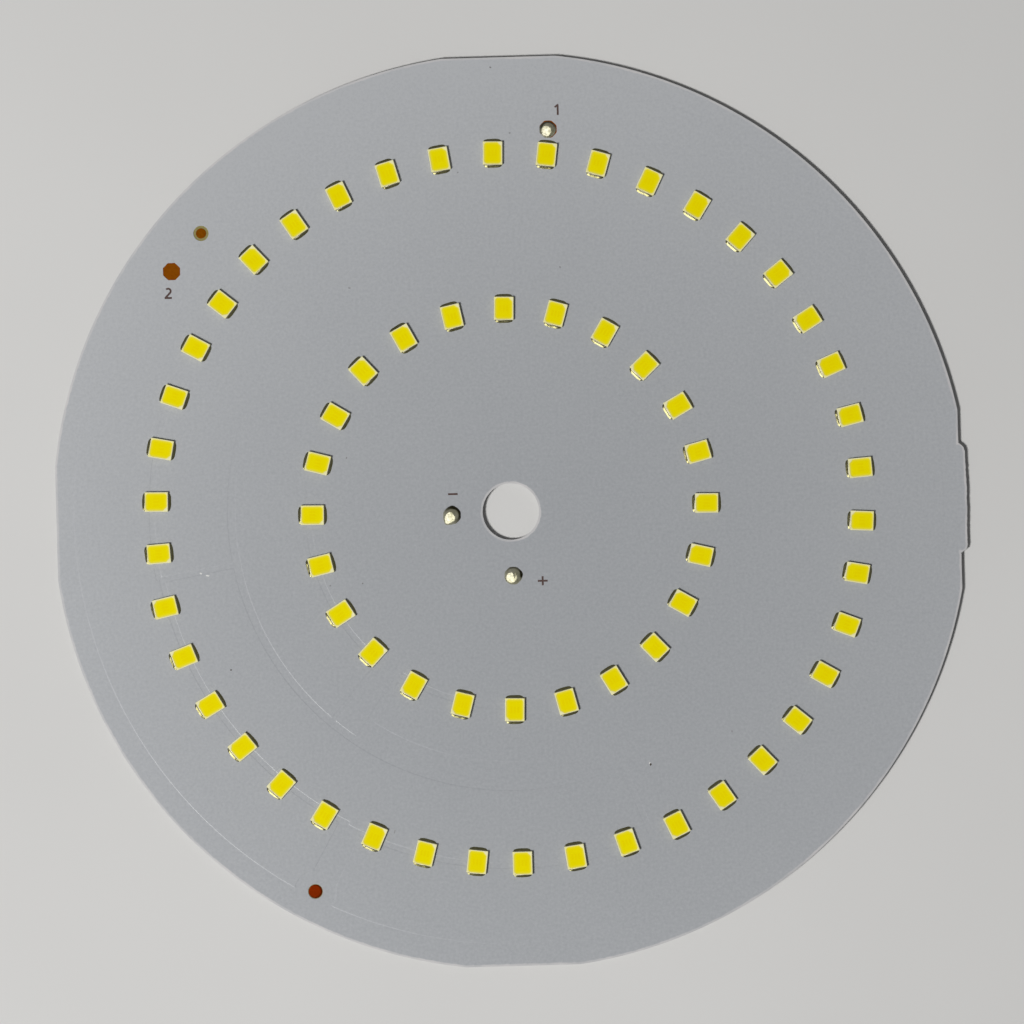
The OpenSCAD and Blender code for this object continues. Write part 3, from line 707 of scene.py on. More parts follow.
def contours(F, xs, ys, level):
    """Closed or open polylines where F crosses level, by marching squares."""
    ny, nx = F.shape
    S = F > level
    # crossings on horizontal edges (j, i)-(j, i+1) and vertical ones (j, i)-(j+1, i)
    code = (S[:-1, :-1] * 1 + S[:-1, 1:] * 2 + S[1:, 1:] * 4 + S[1:, :-1] * 8)
    jj, ii = np.nonzero((code > 0) & (code < 15))
    N = nx * ny
    segs = {}
    table = {1: [(3, 0)], 2: [(0, 1)], 3: [(3, 1)], 4: [(1, 2)], 5: [(3, 2), (1, 0)], 6: [(0, 2)],
             7: [(3, 2)], 8: [(2, 3)], 9: [(2, 0)], 10: [(2, 1), (0, 3)], 11: [(2, 1)], 12: [(1, 3)],
             13: [(1, 0)], 14: [(0, 3)]}
    for j, i, c in zip(jj.tolist(), ii.tolist(), code[jj, ii].tolist()):
        ids = (j * nx + i, N + j * nx + i + 1, (j + 1) * nx + i, N + j * nx + i)
        for a, b in table[c]:
            segs.setdefault(ids[a], []).append(ids[b])
            segs.setdefault(ids[b], []).append(ids[a])

    def point(k):
        if k < N:
            j, i = divmod(k, nx)
            t = (level - F[j, i]) / (F[j, i + 1] - F[j, i])
            return xs[i] + t * (xs[i + 1] - xs[i]), ys[j]
        j, i = divmod(k - N, nx)
        t = (level - F[j, i]) / (F[j + 1, i] - F[j, i])
        return xs[i], ys[j] + t * (ys[j + 1] - ys[j])

    lines = []
    seen = set()
    for start in sorted(segs, key=lambda k: (len(segs[k]) != 1, k)):
        if start in seen:
            continue
        chain = [start]
        seen.add(start)
        now = start
        while True:
            nxt = [k for k in segs[now] if k not in seen]
            if not nxt:
                break
            now = nxt[0]
            seen.add(now)
            chain.append(now)
        closed = len(chain) > 2 and start in segs[now]
        lines.append((np.array([point(k) for k in chain]), closed))
    return lines


def simplify(p, closed, tol):
    """Fewer points along a polyline, none further than tol from it."""
    if closed:
        far = int(np.argmax(((p - p[0]) ** 2).sum(1)))
        a = simplify(p[:far + 1], False, tol)
        b = simplify(np.concatenate([p[far:], p[:1]]), False, tol)
        return np.concatenate([a[:-1], b[:-1]])
    keep = np.zeros(len(p), bool)
    keep[[0, -1]] = True
    stack = [(0, len(p) - 1)]
    while stack:
        a, b = stack.pop()
        if b - a < 2:
            continue
        d = p[b] - p[a]
        L = np.hypot(*d)
        q = p[a + 1:b] - p[a]
        dist = np.abs(q[:, 0] * d[1] - q[:, 1] * d[0]) / L if L > 1e-9 else np.hypot(q[:, 0], q[:, 1])
        k = int(np.argmax(dist))
        if dist[k] > tol:
            keep[a + 1 + k] = True
            stack += [(a, a + 1 + k), (a + 1 + k, b)]
    return p[keep]


class Plan:
    """Constraint lines for one triangulation."""

    def __init__(self):
        self.p, self.e = [], []

    def line(self, pts, closed=True):
        n = len(self.p)
        m_ = len(pts)
        self.p += [tuple(map(float, q)) for q in pts]
        self.e += [(n + i, n + i + 1) for i in range(m_ - 1)]
        if closed:
            self.e.append((n + m_ - 1, n))

    def mesh(self, kind=0):
        v, _, f, *_ = delaunay_2d_cdt([Vector(q) for q in self.p], self.e, [], kind, 1e-5, False)
        return np.array([(q[0], q[1]) for q in v]), np.array([list(t) for t in f])


def boundary(tris):
    """Directed border edges of a triangle list."""
    e = np.concatenate([tris[:, [0, 1]], tris[:, [1, 2]], tris[:, [2, 0]]])
    have = set(map(tuple, e.tolist()))
    return [(a, b) for a, b in have if (b, a) not in have]


# ---------------------------------------------------------------- the white mask

H = 0.14
GX = np.arange(-66.0, 66.0 + H, H)
gx, gy = np.meshgrid(GX, GX)
D = foil_distance(gx, gy)
E = outline_distance(gx, gy)

plan = Plan()
plan.line(OUT)
plan.line(HOLE)
for d in (0.12, 0.26, 0.42, 0.62):
    plan.line([(x * (HOLE_R + d) / HOLE_R, y * (HOLE_R + d) / HOLE_R) for x, y in HOLE])
    for p, closed in contours(E, GX, GX, -d):
        plan.line(simplify(p, closed, 0.004), closed)
for level in (-0.05, 0.04, 0.06, 0.08, 0.10, 0.12, 0.14, 0.29):
    for p, closed in contours(D, GX, GX, level):
        # the outer gap runs past the foil to the outline: keep clear of the rim's own lines
        if len(p) > 6:
            plan.line(simplify(p, closed, 0.0025), closed)



def pad_end(y, half=1.25, long=0.36):
    """Where the solder at an LED's end stops: the pad's rounded outer end."""
    return 1.70 + long * np.sqrt(np.maximum(0.0, 1 - (np.abs(y) / half) ** 3.4))


# openings over the pads of the LEDs
OPEN = []
for bank_no, ring, k, way in LEDS:
    for inner, sign in ((-1.16, -1), (0.26, 1)):
        ys = 1.20 * np.sin(np.linspace(-math.pi / 2, math.pi / 2, 19))
        q = np.stack([sign * pad_end(ys, 1.22, 0.34), ys * sign], 1)
        q = np.concatenate([q, [[inner, 1.20 * sign], [inner, -1.20 * sign]]])
        t, cx, cy = led_place(ring, k, way, turned=False)
        q = rot(q, t) + (cx, cy)
        OPEN.append((q, Z_PAD, np.array([cx, cy]), 3.2))
        plan.line(q)


def octagon(at, af, r=0.12, n=3):
    c = af / 2 / cosd(22.5)
    pts = [(c * cosd(22.5 + 45 * i), c * sind(22.5 + 45 * i)) for i in range(8)]
    return filleted(pts, [r] * 8, n) + (at[0] + ART[0], at[1] + ART[1])


for at in (PLUS_AT, MINUS_AT, TEST_1, TEST_2):
    q = octagon(at, PAD_AF, 0.25 if at is TEST_2 else 0.5)
    OPEN.append((q, Z_PAD, np.array([at[0] + ART[0], at[1] + ART[1]]), 1.6))
    plan.line(q)
for at, r in ((DOT_1, 1.08), (DOT_2, 1.05)):
    c = np.array([at[0] + ART[0], at[1] + ART[1]])
    q = np.array([(c[0] + r * cosd(a), c[1] + r * sind(a)) for a in np.arange(0, 360, 7.5)])
    OPEN.append((q, Z_FOIL, c, 1.6))
    plan.line(q)

P2, T2 = plan.mesh()
cen = P2[T2].mean(1)
good = inside(OUT, cen) & (np.hypot(cen[:, 0], cen[:, 1]) > HOLE_R - 0.01)
for q, z0, c, reach in OPEN:
    idx = np.nonzero((np.abs(cen[:, 0] - c[0]) < reach) & (np.abs(cen[:, 1] - c[1]) < reach) & good)[0]
    if len(idx):
        good[idx[inside(q, cen[idx])]] = False
T2 = T2[good]
area = np.cross(P2[T2[:, 1]] - P2[T2[:, 0]], P2[T2[:, 2]] - P2[T2[:, 0]])
T2 = T2[np.abs(area) > 1e-9]
area = area[np.abs(area) > 1e-9]
T2[area < 0] = T2[area < 0][:, ::-1]
used = np.unique(T2)
back_ = np.full(len(P2), -1)
back_[used] = np.arange(len(used))
P2, T2 = P2[used], back_[T2]



def sink_at(x, y):
    """How far the mask sinks over a gap: least in the middle and at the top right,
    where the coat filled the gaps nearly level, most at the lower left."""
    p = x * cosd(226) + y * sind(226)
    r = np.hypot(x, y)
    return RELIEF * (0.20 + 0.80 * smooth01((p - 14.0) / 20.0)) * (1 - 0.6 * np.exp(-((r - 36.0) / 0.8) ** 2))


D2 = foil_distance(P2[:, 0], P2[:, 1])
edge2 = np.minimum(np.maximum(-outline_distance(P2[:, 0], P2[:, 1]), 0.0),
                   np.maximum(np.hypot(P2[:, 0], P2[:, 1]) - HOLE_R, 0.0))
fall = np.clip((D2 - 0.04) / 0.10, 0, 1)
z_top = Z_MASK - sink_at(P2[:, 0], P2[:, 1]) * smooth01(fall)
# a slight roll-over along the punched edges
z_top -= 0.022 * (1 - smooth01(edge2 / 0.20))
z_bot = Z_PAD - 0.07 * smooth01(D2 / 0.06)
n2v = len(P2)
V = np.concatenate([np.c_[P2, z_top], np.c_[P2, z_bot]])
F = T2.tolist() + (T2[:, ::-1] + n2v).tolist()
for a, b in boundary(T2):
    F.append([b, a, a + n2v, b + n2v])
mask = make("white_solder_mask", V, F, WHITE, ["solder_mask"],
            {"edge": np.tile(np.minimum(edge2, 2.0), 2),
             "slope": np.tile(4 * fall * (1 - fall), 2)}, 30)

# ---------------------------------------------------------------- plate and insulating layer


def slab(levels, inner=None):
    """Closed slab of the outline with its hole: levels are (z, inset)."""
    loops_o = [at_z(shifted(OUT, s), z) for z, s in levels]
    loops_h = [at_z(HOLE * (HOLE_R + s) / HOLE_R, z) for z, s in levels]
    return loops_o, loops_h


def slab_mesh(levels, jitter=0.0, seed=0.0):
    lo, lh = slab(levels)
    no, nh, L = len(OUT), len(HOLE), len(levels)
    v, f = [], []
    for loops, n, flip, key in ((lo, no, False, 0), (lh, nh, True, 7)):
        base_i = sum(len(x) for x in v)
        for i, lp in enumerate(loops):
            lp = lp.copy()
            if jitter and 0 < i < L - 1:
                for j in range(n):
                    w = noise.noise(Vector((lp[j, 0] * 1.7, lp[j, 1] * 1.7, seed + i * 3.1 + key))) * jitter
                    rr = math.hypot(lp[j, 0], lp[j, 1])
                    s = w if not flip else -w
                    lp[j, 0] -= lp[j, 0] / rr * abs(s) * (1 if not flip else -1)
                    lp[j, 1] -= lp[j, 1] / rr * abs(s) * (1 if not flip else -1)
            v.append(lp)
        for i in range(L - 1):
            for j in range(n):
                k = (j + 1) % n
                q = [base_i + i * n + j, base_i + i * n + k, base_i + (i + 1) * n + k, base_i + (i + 1) * n + j]
                f.append(q[::-1] if flip else q)
    allv = np.concatenate(v)
    # flat faces at both ends
    for lvl, up in ((0, False), (L - 1, True)):
        pl = Plan()
        o, h = lo[lvl][:, :2], lh[lvl][:, :2]
        pl.line(o)
        pl.line(h)
        pts, tr = pl.mesh()
        c = pts[tr].mean(1)
        hr = np.hypot(h[0, 0], h[0, 1])
        tr = tr[inside(o, c) & (np.hypot(c[:, 0], c[:, 1]) > hr * 0.999)]
        # the triangulation keeps the input points first and in order
        ar = np.cross(pts[tr[:, 1]] - pts[tr[:, 0]], pts[tr[:, 2]] - pts[tr[:, 0]])
        tr = tr[np.abs(ar) > 1e-9]
        ar = ar[np.abs(ar) > 1e-9]
        tr[ar < 0] = tr[ar < 0][:, ::-1]
        ends = np.concatenate([o, h])
        near_i = np.array([int(np.argmin(((ends - q) ** 2).sum(1))) for q in pts])
        ids = np.where(near_i < no, near_i + lvl * no, near_i - no + L * no + lvl * nh)
        tri = ids[tr]
        f += (tri if up else tri[:, ::-1]).tolist()
    return allv, f


v, f = slab_mesh([(0.0, 0.05), (0.03, 0.012), (0.10, 0.0), (0.34, 0.0), (0.56, 0.004), (0.76, 0.0), (0.91, 0.0), (Z_PLATE, 0.012)],
                 jitter=0.022, seed=3.0)
make("aluminium_disc", v, f, ALUMINIUM, ["base_plate"], angle=28)
v, f = slab_mesh([(Z_PLATE, 0.02), (Z_PLATE + 0.04, 0.006), (Z_PLATE + 0.10, 0.01), (Z_FOIL, 0.0)], jitter=0.012, seed=11.0)
make("laminate_layer", v, f, LAMINATE, ["insulating_layer"], angle=60)

# ---------------------------------------------------------------- one LED

WL, WW, CUT = 3.02, 2.44, 0.5


def window(dl, r=0.48, rc=0.20):
    """The window's outline, grown by dl, with its bevelled corner."""
    a, b, c = WL / 2 + dl, WW / 2 + dl, max(0.08, CUT + 0.06 + dl * 0.6)
    return filleted([(a, b), (-a, b), (-a, -b), (a - c, -b), (a, -b + c)],
                    [r, r, r, rc, rc], 5)


def block(a, b, r=0.05):
    return filleted([(a, b), (-a, b), (-a, -b), (a - 0.05, -b), (a, -b + 0.05)],
                    [r, r, r, 0.02, 0.02], 5)


floor_loop = filleted([(1.25, 0.97), (-1.25, 0.97), (-1.25, -0.97), (1.25 - 0.42, -0.97), (1.25, -0.97 + 0.42)],
                      [0.2, 0.2, 0.2, 0.08, 0.08], 5)
case_loops = [
    at_z(block(1.625, 1.375), 0.0), at_z(block(1.65, 1.40), 0.03), at_z(block(1.65, 1.40), 0.34),
    at_z(block(1.632, 1.382), 0.655), at_z(block(1.620, 1.370), 0.685), at_z(block(1.598, 1.348), 0.698),
    at_z(block(1.580, 1.330), 0.70),
    at_z(window(0.020), 0.70), at_z(window(0.006), 0.696), at_z(window(-0.004), 0.680),
    at_z(window(-0.030), 0.60), at_z(floor_loop, 0.2)]
cv, cf = loft(case_loops)
# the last cap is the cavity's floor
case_me = bpy.data.meshes.new("proto_case")
case_me.from_pydata(cv.tolist(), [], cf)
case_ob = bpy.data.objects.new("proto_case", case_me)
bpy.context.scene.collection.objects.link(case_ob)
for x0, x1 in ((-1.9, -0.83), (-0.48, 1.9)):
    bx = [[x, y, z] for z in (-0.1, 0.2) for x, y in ((x0, -1.05), (x1, -1.05), (x1, 1.05), (x0, 1.05))]
    cut_me = bpy.data.meshes.new("proto_cut")
    cut_me.from_pydata(bx, [], [[3, 2, 1, 0], [4, 5, 6, 7], [0, 1, 5, 4], [1, 2, 6, 5], [2, 3, 7, 6], [3, 0, 4, 7]])
    cut_ob = bpy.data.objects.new("proto_cut", cut_me)
    bpy.context.scene.collection.objects.link(cut_ob)
    mod = case_ob.modifiers.new("cut", "BOOLEAN")
    mod.operation = "DIFFERENCE"
    mod.solver = "EXACT"
    mod.object = cut_ob
bpy.context.view_layer.update()
done_me = bpy.data.meshes.new_from_object(case_ob.evaluated_get(bpy.context.evaluated_depsgraph_get()))
CASE_V = np.array([list(q.co) for q in done_me.vertices])
CASE_F = [list(q.vertices) for q in done_me.polygons]
for o in [o for o in bpy.data.objects if o.name.startswith("proto_")]:
    bpy.data.objects.remove(o)
bpy.data.meshes.remove(done_me)
for me in [x for x in bpy.data.meshes if x.name.startswith("proto_")]:
    bpy.data.meshes.remove(me)


def window_gap(v):
    """Distance inwards from the window's edge (positive inside)."""
    a, b = WL / 2, WW / 2
    x, y = v[:, 0], v[:, 1]
    bevel = ((a - CUT / 2) - x + (y + b - CUT / 2)) / math.sqrt(2)
    return np.minimum.reduce([a - np.abs(x), b - np.abs(y), bevel])


case_near = np.abs(window_gap(CASE_V))

# the fill: a soft dish in the window, and the cavity's shape below
fill_loops = []
for dl, z in ((-0.006, 0.686), (-0.05, 0.676), (-0.12, 0.671), (-0.22, 0.668), (-0.36, 0.666), (-0.60, 0.665), (-0.90, 0.665)):
    fill_loops.append(at_z(window(dl, max(0.05, 0.48 + dl * 0.42), max(0.03, 0.20 + dl * 0.2)), z))
centre = np.array([[0.0, 0.0, 0.665]])
low = [at_z(floor_loop * 0.995, 0.203), at_z(window(-0.036), 0.60)]
fv, ff = loft(low + fill_loops, cap_first=True, cap_last=False)
nl = len(fill_loops[0])
last = (len(low) + len(fill_loops) - 1) * nl
fv = np.concatenate([fv, centre])
for j in range(nl):
    ff.append([last + j, last + (j + 1) % nl, len(fv) - 1])
FILL_V, FILL_F = fv, ff
fill_near = np.maximum(window_gap(FILL_V), 0.0)


def bevel_box(x0, x1, y0, y1, z0, z1, r):
    lp = []
    for z, s in ((z0, r), (z0 + r, 0), (z1 - r, 0), (z1, r)):
        lp.append(at_z(filleted([(x1 - s, y1 - s), (x0 + s, y1 - s), (x0 + s, y0 + s), (x1 - s, y0 + s)], [r * 1.2] * 4, 2), z))
    return loft(lp)


AN_V, AN_F = bevel_box(-1.75, -0.83, -1.05, 1.05, 0.0, 0.2, 0.03)
CA_V, CA_F = bevel_box(-0.48, 1.75, -1.05, 1.05, 0.0, 0.2, 0.03)

# ---------------------------------------------------------------- solder at an LED's end


def fillet_mesh(key, nu=14, nv=37):
    """Solder at one end of an LED, towards +X: it slopes from the lead's end down to
    the mask, swollen towards the corners of the pad. Also says how far each vertex
    belongs to the pad (1) or to the lead (0)."""
    r1, r2, r3, r4, r5 = (rnd(*key, i) for i in range(5))
    toe = 0.325 + 0.05 * (r1 - 0.5)
    lumps = ((-0.83 + 0.12 * (r2 - 0.5), 0.008 + 0.024 * r3), (0.83 + 0.12 * (r4 - 0.5), 0.008 + 0.024 * r5))
    border = Z_MASK - Z_LED + 0.003
    floor_z = Z_PAD - Z_LED + 0.001
    rows, own = [], []
    for i in range(nu):
        u = (i / (nu - 1)) ** 0.85
        for v_ in np.linspace(-1, 1, nv):
            y = 1.235 * math.sin(v_ * math.pi / 2)
            out_x = float(pad_end(y)) + 0.018 * noise.noise(Vector((y * 2.0 + key[0] * 3.7, key[1] * 5.1, r5 * 9.0)))
            lean = (float(pad_end(y + 0.01)) - float(pad_end(y - 0.01))) / 0.02
            x = 1.652 + (out_x - 1.652) * u
            # an even slope up from the border, steep at last against the lead
            t = (out_x - x) / math.sqrt(1 + lean * lean)
            steep = 1.80 - 0.11 * float(smooth01((abs(y) - 0.70) / 0.28))
            h = toe * min(t, 0.34) + 0.75 * max(0.0, steep - x) * min(1.0, (1.235 - abs(y)) / 0.15)
            for at, size in lumps:
                h += size * min(1.0, t / 0.12) * math.exp(-0.5 * ((x - 1.84) / 0.20) ** 2 - 0.5 * ((y - at) / 0.18) ** 2)
            h += 0.010 * min(1.0, t / 0.10) * noise.noise(Vector((x * 2.0 + r1 * 7, y * 2.0 + r2 * 9, r3 * 5.0)))
            rows.append((x, y, border + max(h, 0.0)))
            own.append(float(smooth01(u)))
    top = np.array(rows)
    f = []
    for i in range(nu - 1):
        for j in range(nv - 1):
            a = i * nv + j
            f.append([a, a + nv, a + nv + 1, a + 1])
    n = nu * nv
    loop = [j for j in range(nv)] + [i * nv + nv - 1 for i in range(1, nu)] + \
           [(nu - 1) * nv + j for j in range(nv - 2, -1, -1)] + [i * nv for i in range(nu - 2, 0, -1)]
    low_ = top[loop].copy()
    low_[:, 2] = floor_z
    low_[:, 0] = 1.652 + (low_[:, 0] - 1.652) * 0.90
    low_[:, 1] *= 0.965
    m_ = len(loop)
    for i in range(m_):
        k = (i + 1) % m_
        f.append([loop[k], loop[i], n + i, n + k])
    f.append([n + i for i in range(m_)])
    own = np.array(own + [own[i] for i in loop])
    return np.concatenate([top, low_]), f, own


def layer_mesh(x0, x1):
    z0 = Z_PAD - Z_LED + 0.001
    return bevel_box(x0, x1, -1.02, 1.02, z0, -0.001, 0.012)


cases, fills = {}, {}
leads = {(r, w): Soup() for r in (0, 1) for w in "ac"}
pools = {0: Soup(), 1: Soup()}
for bank_no, ring, k, way in LEDS:
    cases.setdefault(bank_no, Soup()).add(place_led(CASE_V, ring, k, way), CASE_F, near=case_near)
    fv = FILL_V.copy()
    key = rnd(bank_no, k, 3)
    # each fill settles a little differently
    tilt = (rnd(k, ring, 5) - 0.5) * 0.006, (rnd(k, ring, 6) - 0.5) * 0.006
    sel = fv[:, 2] > 0.65
    fv[sel, 2] += fv[sel, 0] * tilt[0] + fv[sel, 1] * tilt[1]
    fills.setdefault(bank_no, Soup()).add(place_led(fv, ring, k, way), FILL_F, near=fill_near,
                                          loc=FILL_V, odd=np.full(len(fv), key))
    leads[(ring, "a")].add(place_led(AN_V, ring, k, way), AN_F)
    leads[(ring, "c")].add(place_led(CA_V, ring, k, way), CA_F)
    for end, inner in ((1, 0.30), (-1, 1.20)):
        pv, pf, own = fillet_mesh((k + 50 * ring, end + 2, bank_no))
        lv, lf = layer_mesh(inner, 1.66)
        if end < 0:
            pv = pv * (-1, -1, 1)
            lv = lv * (-1, -1, 1)
        own = own[:, None]
        pools[ring].add(place_led(pv, ring, k, way) * (1 - own) + place_led(pv, ring, k, way, turned=False) * own, pf)
        pools[ring].add(place_led(lv, ring, k, way, turned=False), lf)

for bank_no in range(1, 12):
    cases[bank_no].make(f"led_cases_bank_{bank_no:02d}", CASE, "led_case", [f"cases_bank_{bank_no:02d}"], 38)
    fills[bank_no].make(f"led_fills_bank_{bank_no:02d}", PHOSPHOR, "phosphor", [f"phosphors_bank_{bank_no:02d}"], 40)
for ring, word in ((0, "inner"), (1, "outer")):
    leads[(ring, "a")].make(f"tinned_anode_leads_{word}", LEADS, "led_leads", [f"anode_leads_{word}"], 40)
    leads[(ring, "c")].make(f"tinned_cathode_leads_{word}", LEADS, "led_leads", [f"cathode_leads_{word}"], 40)
    pools[ring].make(f"solder_pools_{word}", SOLDER, "led_solder", [f"led_solder_{word}"], 50)

# ---------------------------------------------------------------- solder on the round pads


def lump(name, at, shape, height, dark, node, seed, n=96, m_=26, rough=0.05, full=True):
    """A lump of solder on an eight-sided pad. shape(angle) is its border's distance from
    the pad's centre, height(x, y, t) its height over the pad where t is 0 at the
    centre and 1 at the border, dark(x, y) how far its colour is darkened there:
    painted shade on the side away from the light, and the plus lump's notch."""
    cx, cy = at[0] + ART[0], at[1] + ART[1]
    oct_in = PAD_AF / 2

    def pad_edge(a):
        edge_ = oct_in / max(abs(cosd(a - 45 * i)) for i in range(8))
        return min(edge_, 1.265) if full else edge_

    loops = []
    angs = [360.0 * j / n for j in range(n)]
    border = [max(shape(a), pad_edge(a) + 0.02) if full else shape(a) for a in angs]
    edge_z = [Z_PAD + 0.002 if b < pad_edge(a) * 0.985 else Z_MASK + 0.002 for a, b in zip(angs, border)]
    # flat bottom inside the opening
    under = [at_z(np.array([(min(b, pad_edge(a) * 0.98) * 0.985 * cosd(a), min(b, pad_edge(a) * 0.98) * 0.985 * sind(a)) for a, b in zip(angs, border)]), Z_PAD + 0.001)]
    step = np.array([(min(b, pad_edge(a) * 0.98) * cosd(a), min(b, pad_edge(a) * 0.98) * sind(a), z - 0.001) for a, b, z in zip(angs, border, edge_z)])
    loops += under + [step]
    for i in range(m_):
        t = 1 - (i / m_) ** 1.15 if i else 1.0
        ring_pts = []
        for a, b, ez in zip(angs, border, edge_z):
            x, y = b * t * cosd(a), b * t * sind(a)
            h = height(x, y, t)
            h += rough * (1 - t ** 3) * noise.noise(Vector((x * 1.9 + seed, y * 1.9, seed * 2.0)))
            h += rough * 0.35 * (1 - t ** 3) * noise.noise(Vector((x * 5.3 + seed, y * 5.3, seed * 3.0)))
            foot = Z_MASK + (ez - Z_MASK) * float(smooth01((t - 0.6) / 0.4))
            ring_pts.append((x, y, foot + max(h, 0.0)))
        loops.append(np.array(ring_pts))
    v_, f_ = loft(loops, cap_first=True, cap_last=False)
    top_z = Z_MASK + height(0, 0, 0) + rough * noise.noise(Vector((seed, 0, seed * 2.0)))
    v_ = np.concatenate([v_, [[0, 0, top_z]]])
    last_ = (len(loops) - 1) * n
    for j in range(n):
        f_.append([last_ + j, last_ + (j + 1) % n, len(v_) - 1])
    # painted shade, per vertex: darker on the side away from the light, and in the plus lump's notch
    shade_and_notch_amount = [min(1.0, max(0.0, dark(q[0], q[1]))) for q in v_]
    v_ = v_ + (cx, cy, 0)
    return make(name, v_, f_, LUMPS, [node], {"dark": shade_and_notch_amount}, angle=60)


def bump_at(a, centre_a, width, size):
    d = (a - centre_a + 180) % 360 - 180
    return size * math.exp(-(d / width) ** 2)


def dome(t, p=2.1, q=0.62):
    return (1 - t ** p) ** q if t < 1 else 0.0


def facet(h, x, y, cx, cy, top, tilt=18.0, az=226.0, soft=0.02):
    """A height cut down softly to a tilted flat whose middle is at cx, cy, top."""
    flat = top - math.tan(math.radians(tilt)) * ((x - cx) * cosd(az) + (y - cy) * sind(az))
    d = (h - flat) / soft
    if abs(d) > 25:
        return min(h, flat)
    return h - soft * math.log(1 + math.exp(d))


def side_of(x, y, az, width):
    """1 on the side of a lump towards az, falling to 0 over width degrees."""
    d = abs((math.degrees(math.atan2(y, x)) - az + 180) % 360 - 180)
    return float(smooth01(1.5 - d / width))


def minus_shape(a):
    r = 1.25 + bump_at(a, 232, 26, 0.32) + bump_at(a, 86, 24, 0.13) + bump_at(a, 150, 18, -0.04)
    return r + 0.05 * noise.noise(Vector((cosd(a) * 2.4, sind(a) * 2.4, 4.0))) + 0.04 * noise.noise(Vector((cosd(a) * 7, sind(a) * 7, 8.0)))


def minus_height(x, y, t):
    h = 0.80 * dome(t, 2.3, 0.75)
    h *= 1 - 0.14 * math.exp(-(((x - 0.55) / 0.40) ** 2 + ((y - 0.50) / 0.45) ** 2))
    return facet(h, x, y, -0.52, -0.50, 0.45)


# painted shade on the upper right rim, away from the light, and on a patch near the top
def minus_painted_shade(x, y):
    r = math.hypot(x, y)
    rim = float(smooth01((r - 0.80) / 0.24)) * side_of(x, y, 45, 100)
    return 1.0 * rim + 0.5 * math.exp(-(((x - 0.25) / 0.35) ** 2 + ((y - 1.05) / 0.25) ** 2))


def plus_shape(a):
    r = 1.25 + bump_at(a, 12, 22, 0.13) + bump_at(a, 235, 30, 0.04)
    return r + 0.03 * noise.noise(Vector((cosd(a) * 2.2, sind(a) * 2.2, 14.0))) + 0.03 * noise.noise(Vector((cosd(a) * 7, sind(a) * 7, 18.0)))


def plus_height(x, y, t):
    notch = 0.80 * math.exp(-(((x - 1.15) / 0.24) ** 2 + ((y - 0.25) / 0.46) ** 2))
    hollow = 0.17 * math.exp(-(((x - 0.20) / 0.20) ** 2 + ((y + 0.1) / 0.70) ** 2))
    h = 0.78 * dome(t, 2.2, 0.66) * (1 - notch) * (1 - hollow)
    return facet(h, x, y, -0.46, -0.40, 0.47)


# near black in the notch, and painted shade on the rim towards the upper right, away from the light
def plus_painted_shade_and_notch(x, y):
    r = math.hypot(x, y)
    hole = math.exp(-(((x - 1.12) / 0.19) ** 2 + ((y - 0.22) / 0.46) ** 4))
    return 1.1 * hole + 0.75 * float(smooth01((r - 0.92) / 0.20)) * side_of(x, y, 60, 80)


def test_shape(a):
    r = 1.13 + bump_at(a, 250, 55, 0.13) + bump_at(a, 165, 40, 0.10) + bump_at(a, 55, 40, -0.05)
    return r + 0.025 * noise.noise(Vector((cosd(a) * 2.2, sind(a) * 2.2, 24.0)))


def test_height(x, y, t):
    return facet(0.78 * dome(t, 2.1, 0.64), x, y, -0.28, -0.48, 0.47)


# painted shade on the rim towards the top, away from the light
def test_painted_shade(x, y):
    r = math.hypot(x, y)
    return 0.95 * float(smooth01((r - 0.70) / 0.24)) * side_of(x, y, 100, 90)


lump("minus_solder_lump", MINUS_AT, minus_shape, minus_height, minus_painted_shade, "solder_minus", 5.3, rough=0.034)
lump("plus_solder_lump", PLUS_AT, plus_shape, plus_height, plus_painted_shade_and_notch, "solder_plus", 9.1, rough=0.022)
lump("test_pad_solder_lump", TEST_1, test_shape, test_height, test_painted_shade, "solder_test_pad", 2.2, rough=0.016, full=False)

# ---------------------------------------------------------------- specks

# (x, y, radius, long, turn, faintness)
SPECKS_DARK = [(18.85, -36.42, 0.13, 1.5, 70, 0.0), (-40.31, -21.36, 0.12, 1.1, 0, 0.35), (7.95, 34.49, 0.10, 1.6, 90, 0.7),
               (-22.02, 32.35, 0.11, 1.8, 0, 0.85), (-23.1, 8.26, 0.10, 1.5, 70, 0.7), (30.5, -32.05, 0.10, 1.8, 95, 0.85),
               (-1.16, 63.10, 0.12, 1.1, 0, 0.5), (1.33, 53.70, 0.12, 1.2, 50, 0.85), (-6.20, 48.30, 0.10, 1.1, 0, 0.85),
               (-25.91, -9.81, 0.10, 1.0, 0, 0.7), (-21.30, -9.62, 0.10, 1.3, 70, 0.6), (-17.75, -44.95, 0.09, 3.0, 75, 0.85)]
# the last pale speck is a painted highlight: the lit rim just to the upper left of the first dark speck
SPECKS_PALE = [(-44.22, -7.56, 0.11, 1.8, -35, 0), (-43.24, -7.90, 0.11, 2.3, -8, 0), (18.70, -36.22, 0.08, 2.0, 60, 0)]


def speck(soup, x, y, r, key, long=1.0, turn=0.0, h=0.018):
    n = 14
    z = Z_MASK - float(sink_at(x, y)) * float(smooth01((foil_distance(np.array([x]), np.array([y])) - 0.04) / 0.10)[0])
    loops = []
    for s, dz in ((0.9, -0.004), (1.0, 0.0), (0.8, 0.6 * h), (0.4, h)):
        p = []
        for j in range(n):
            a = 360.0 * j / n
            q = r * s * (1 + 0.35 * noise.noise(Vector((cosd(a) * 1.6, sind(a) * 1.6, key))))
            p.append((q * cosd(a) * long, q * sind(a)))
        loops.append(at_z(rot(np.array(p), turn) + (x, y), z + dz))
    v_, f_ = loft(loops)
    soup.add(v_, f_, faint=soup.faint)


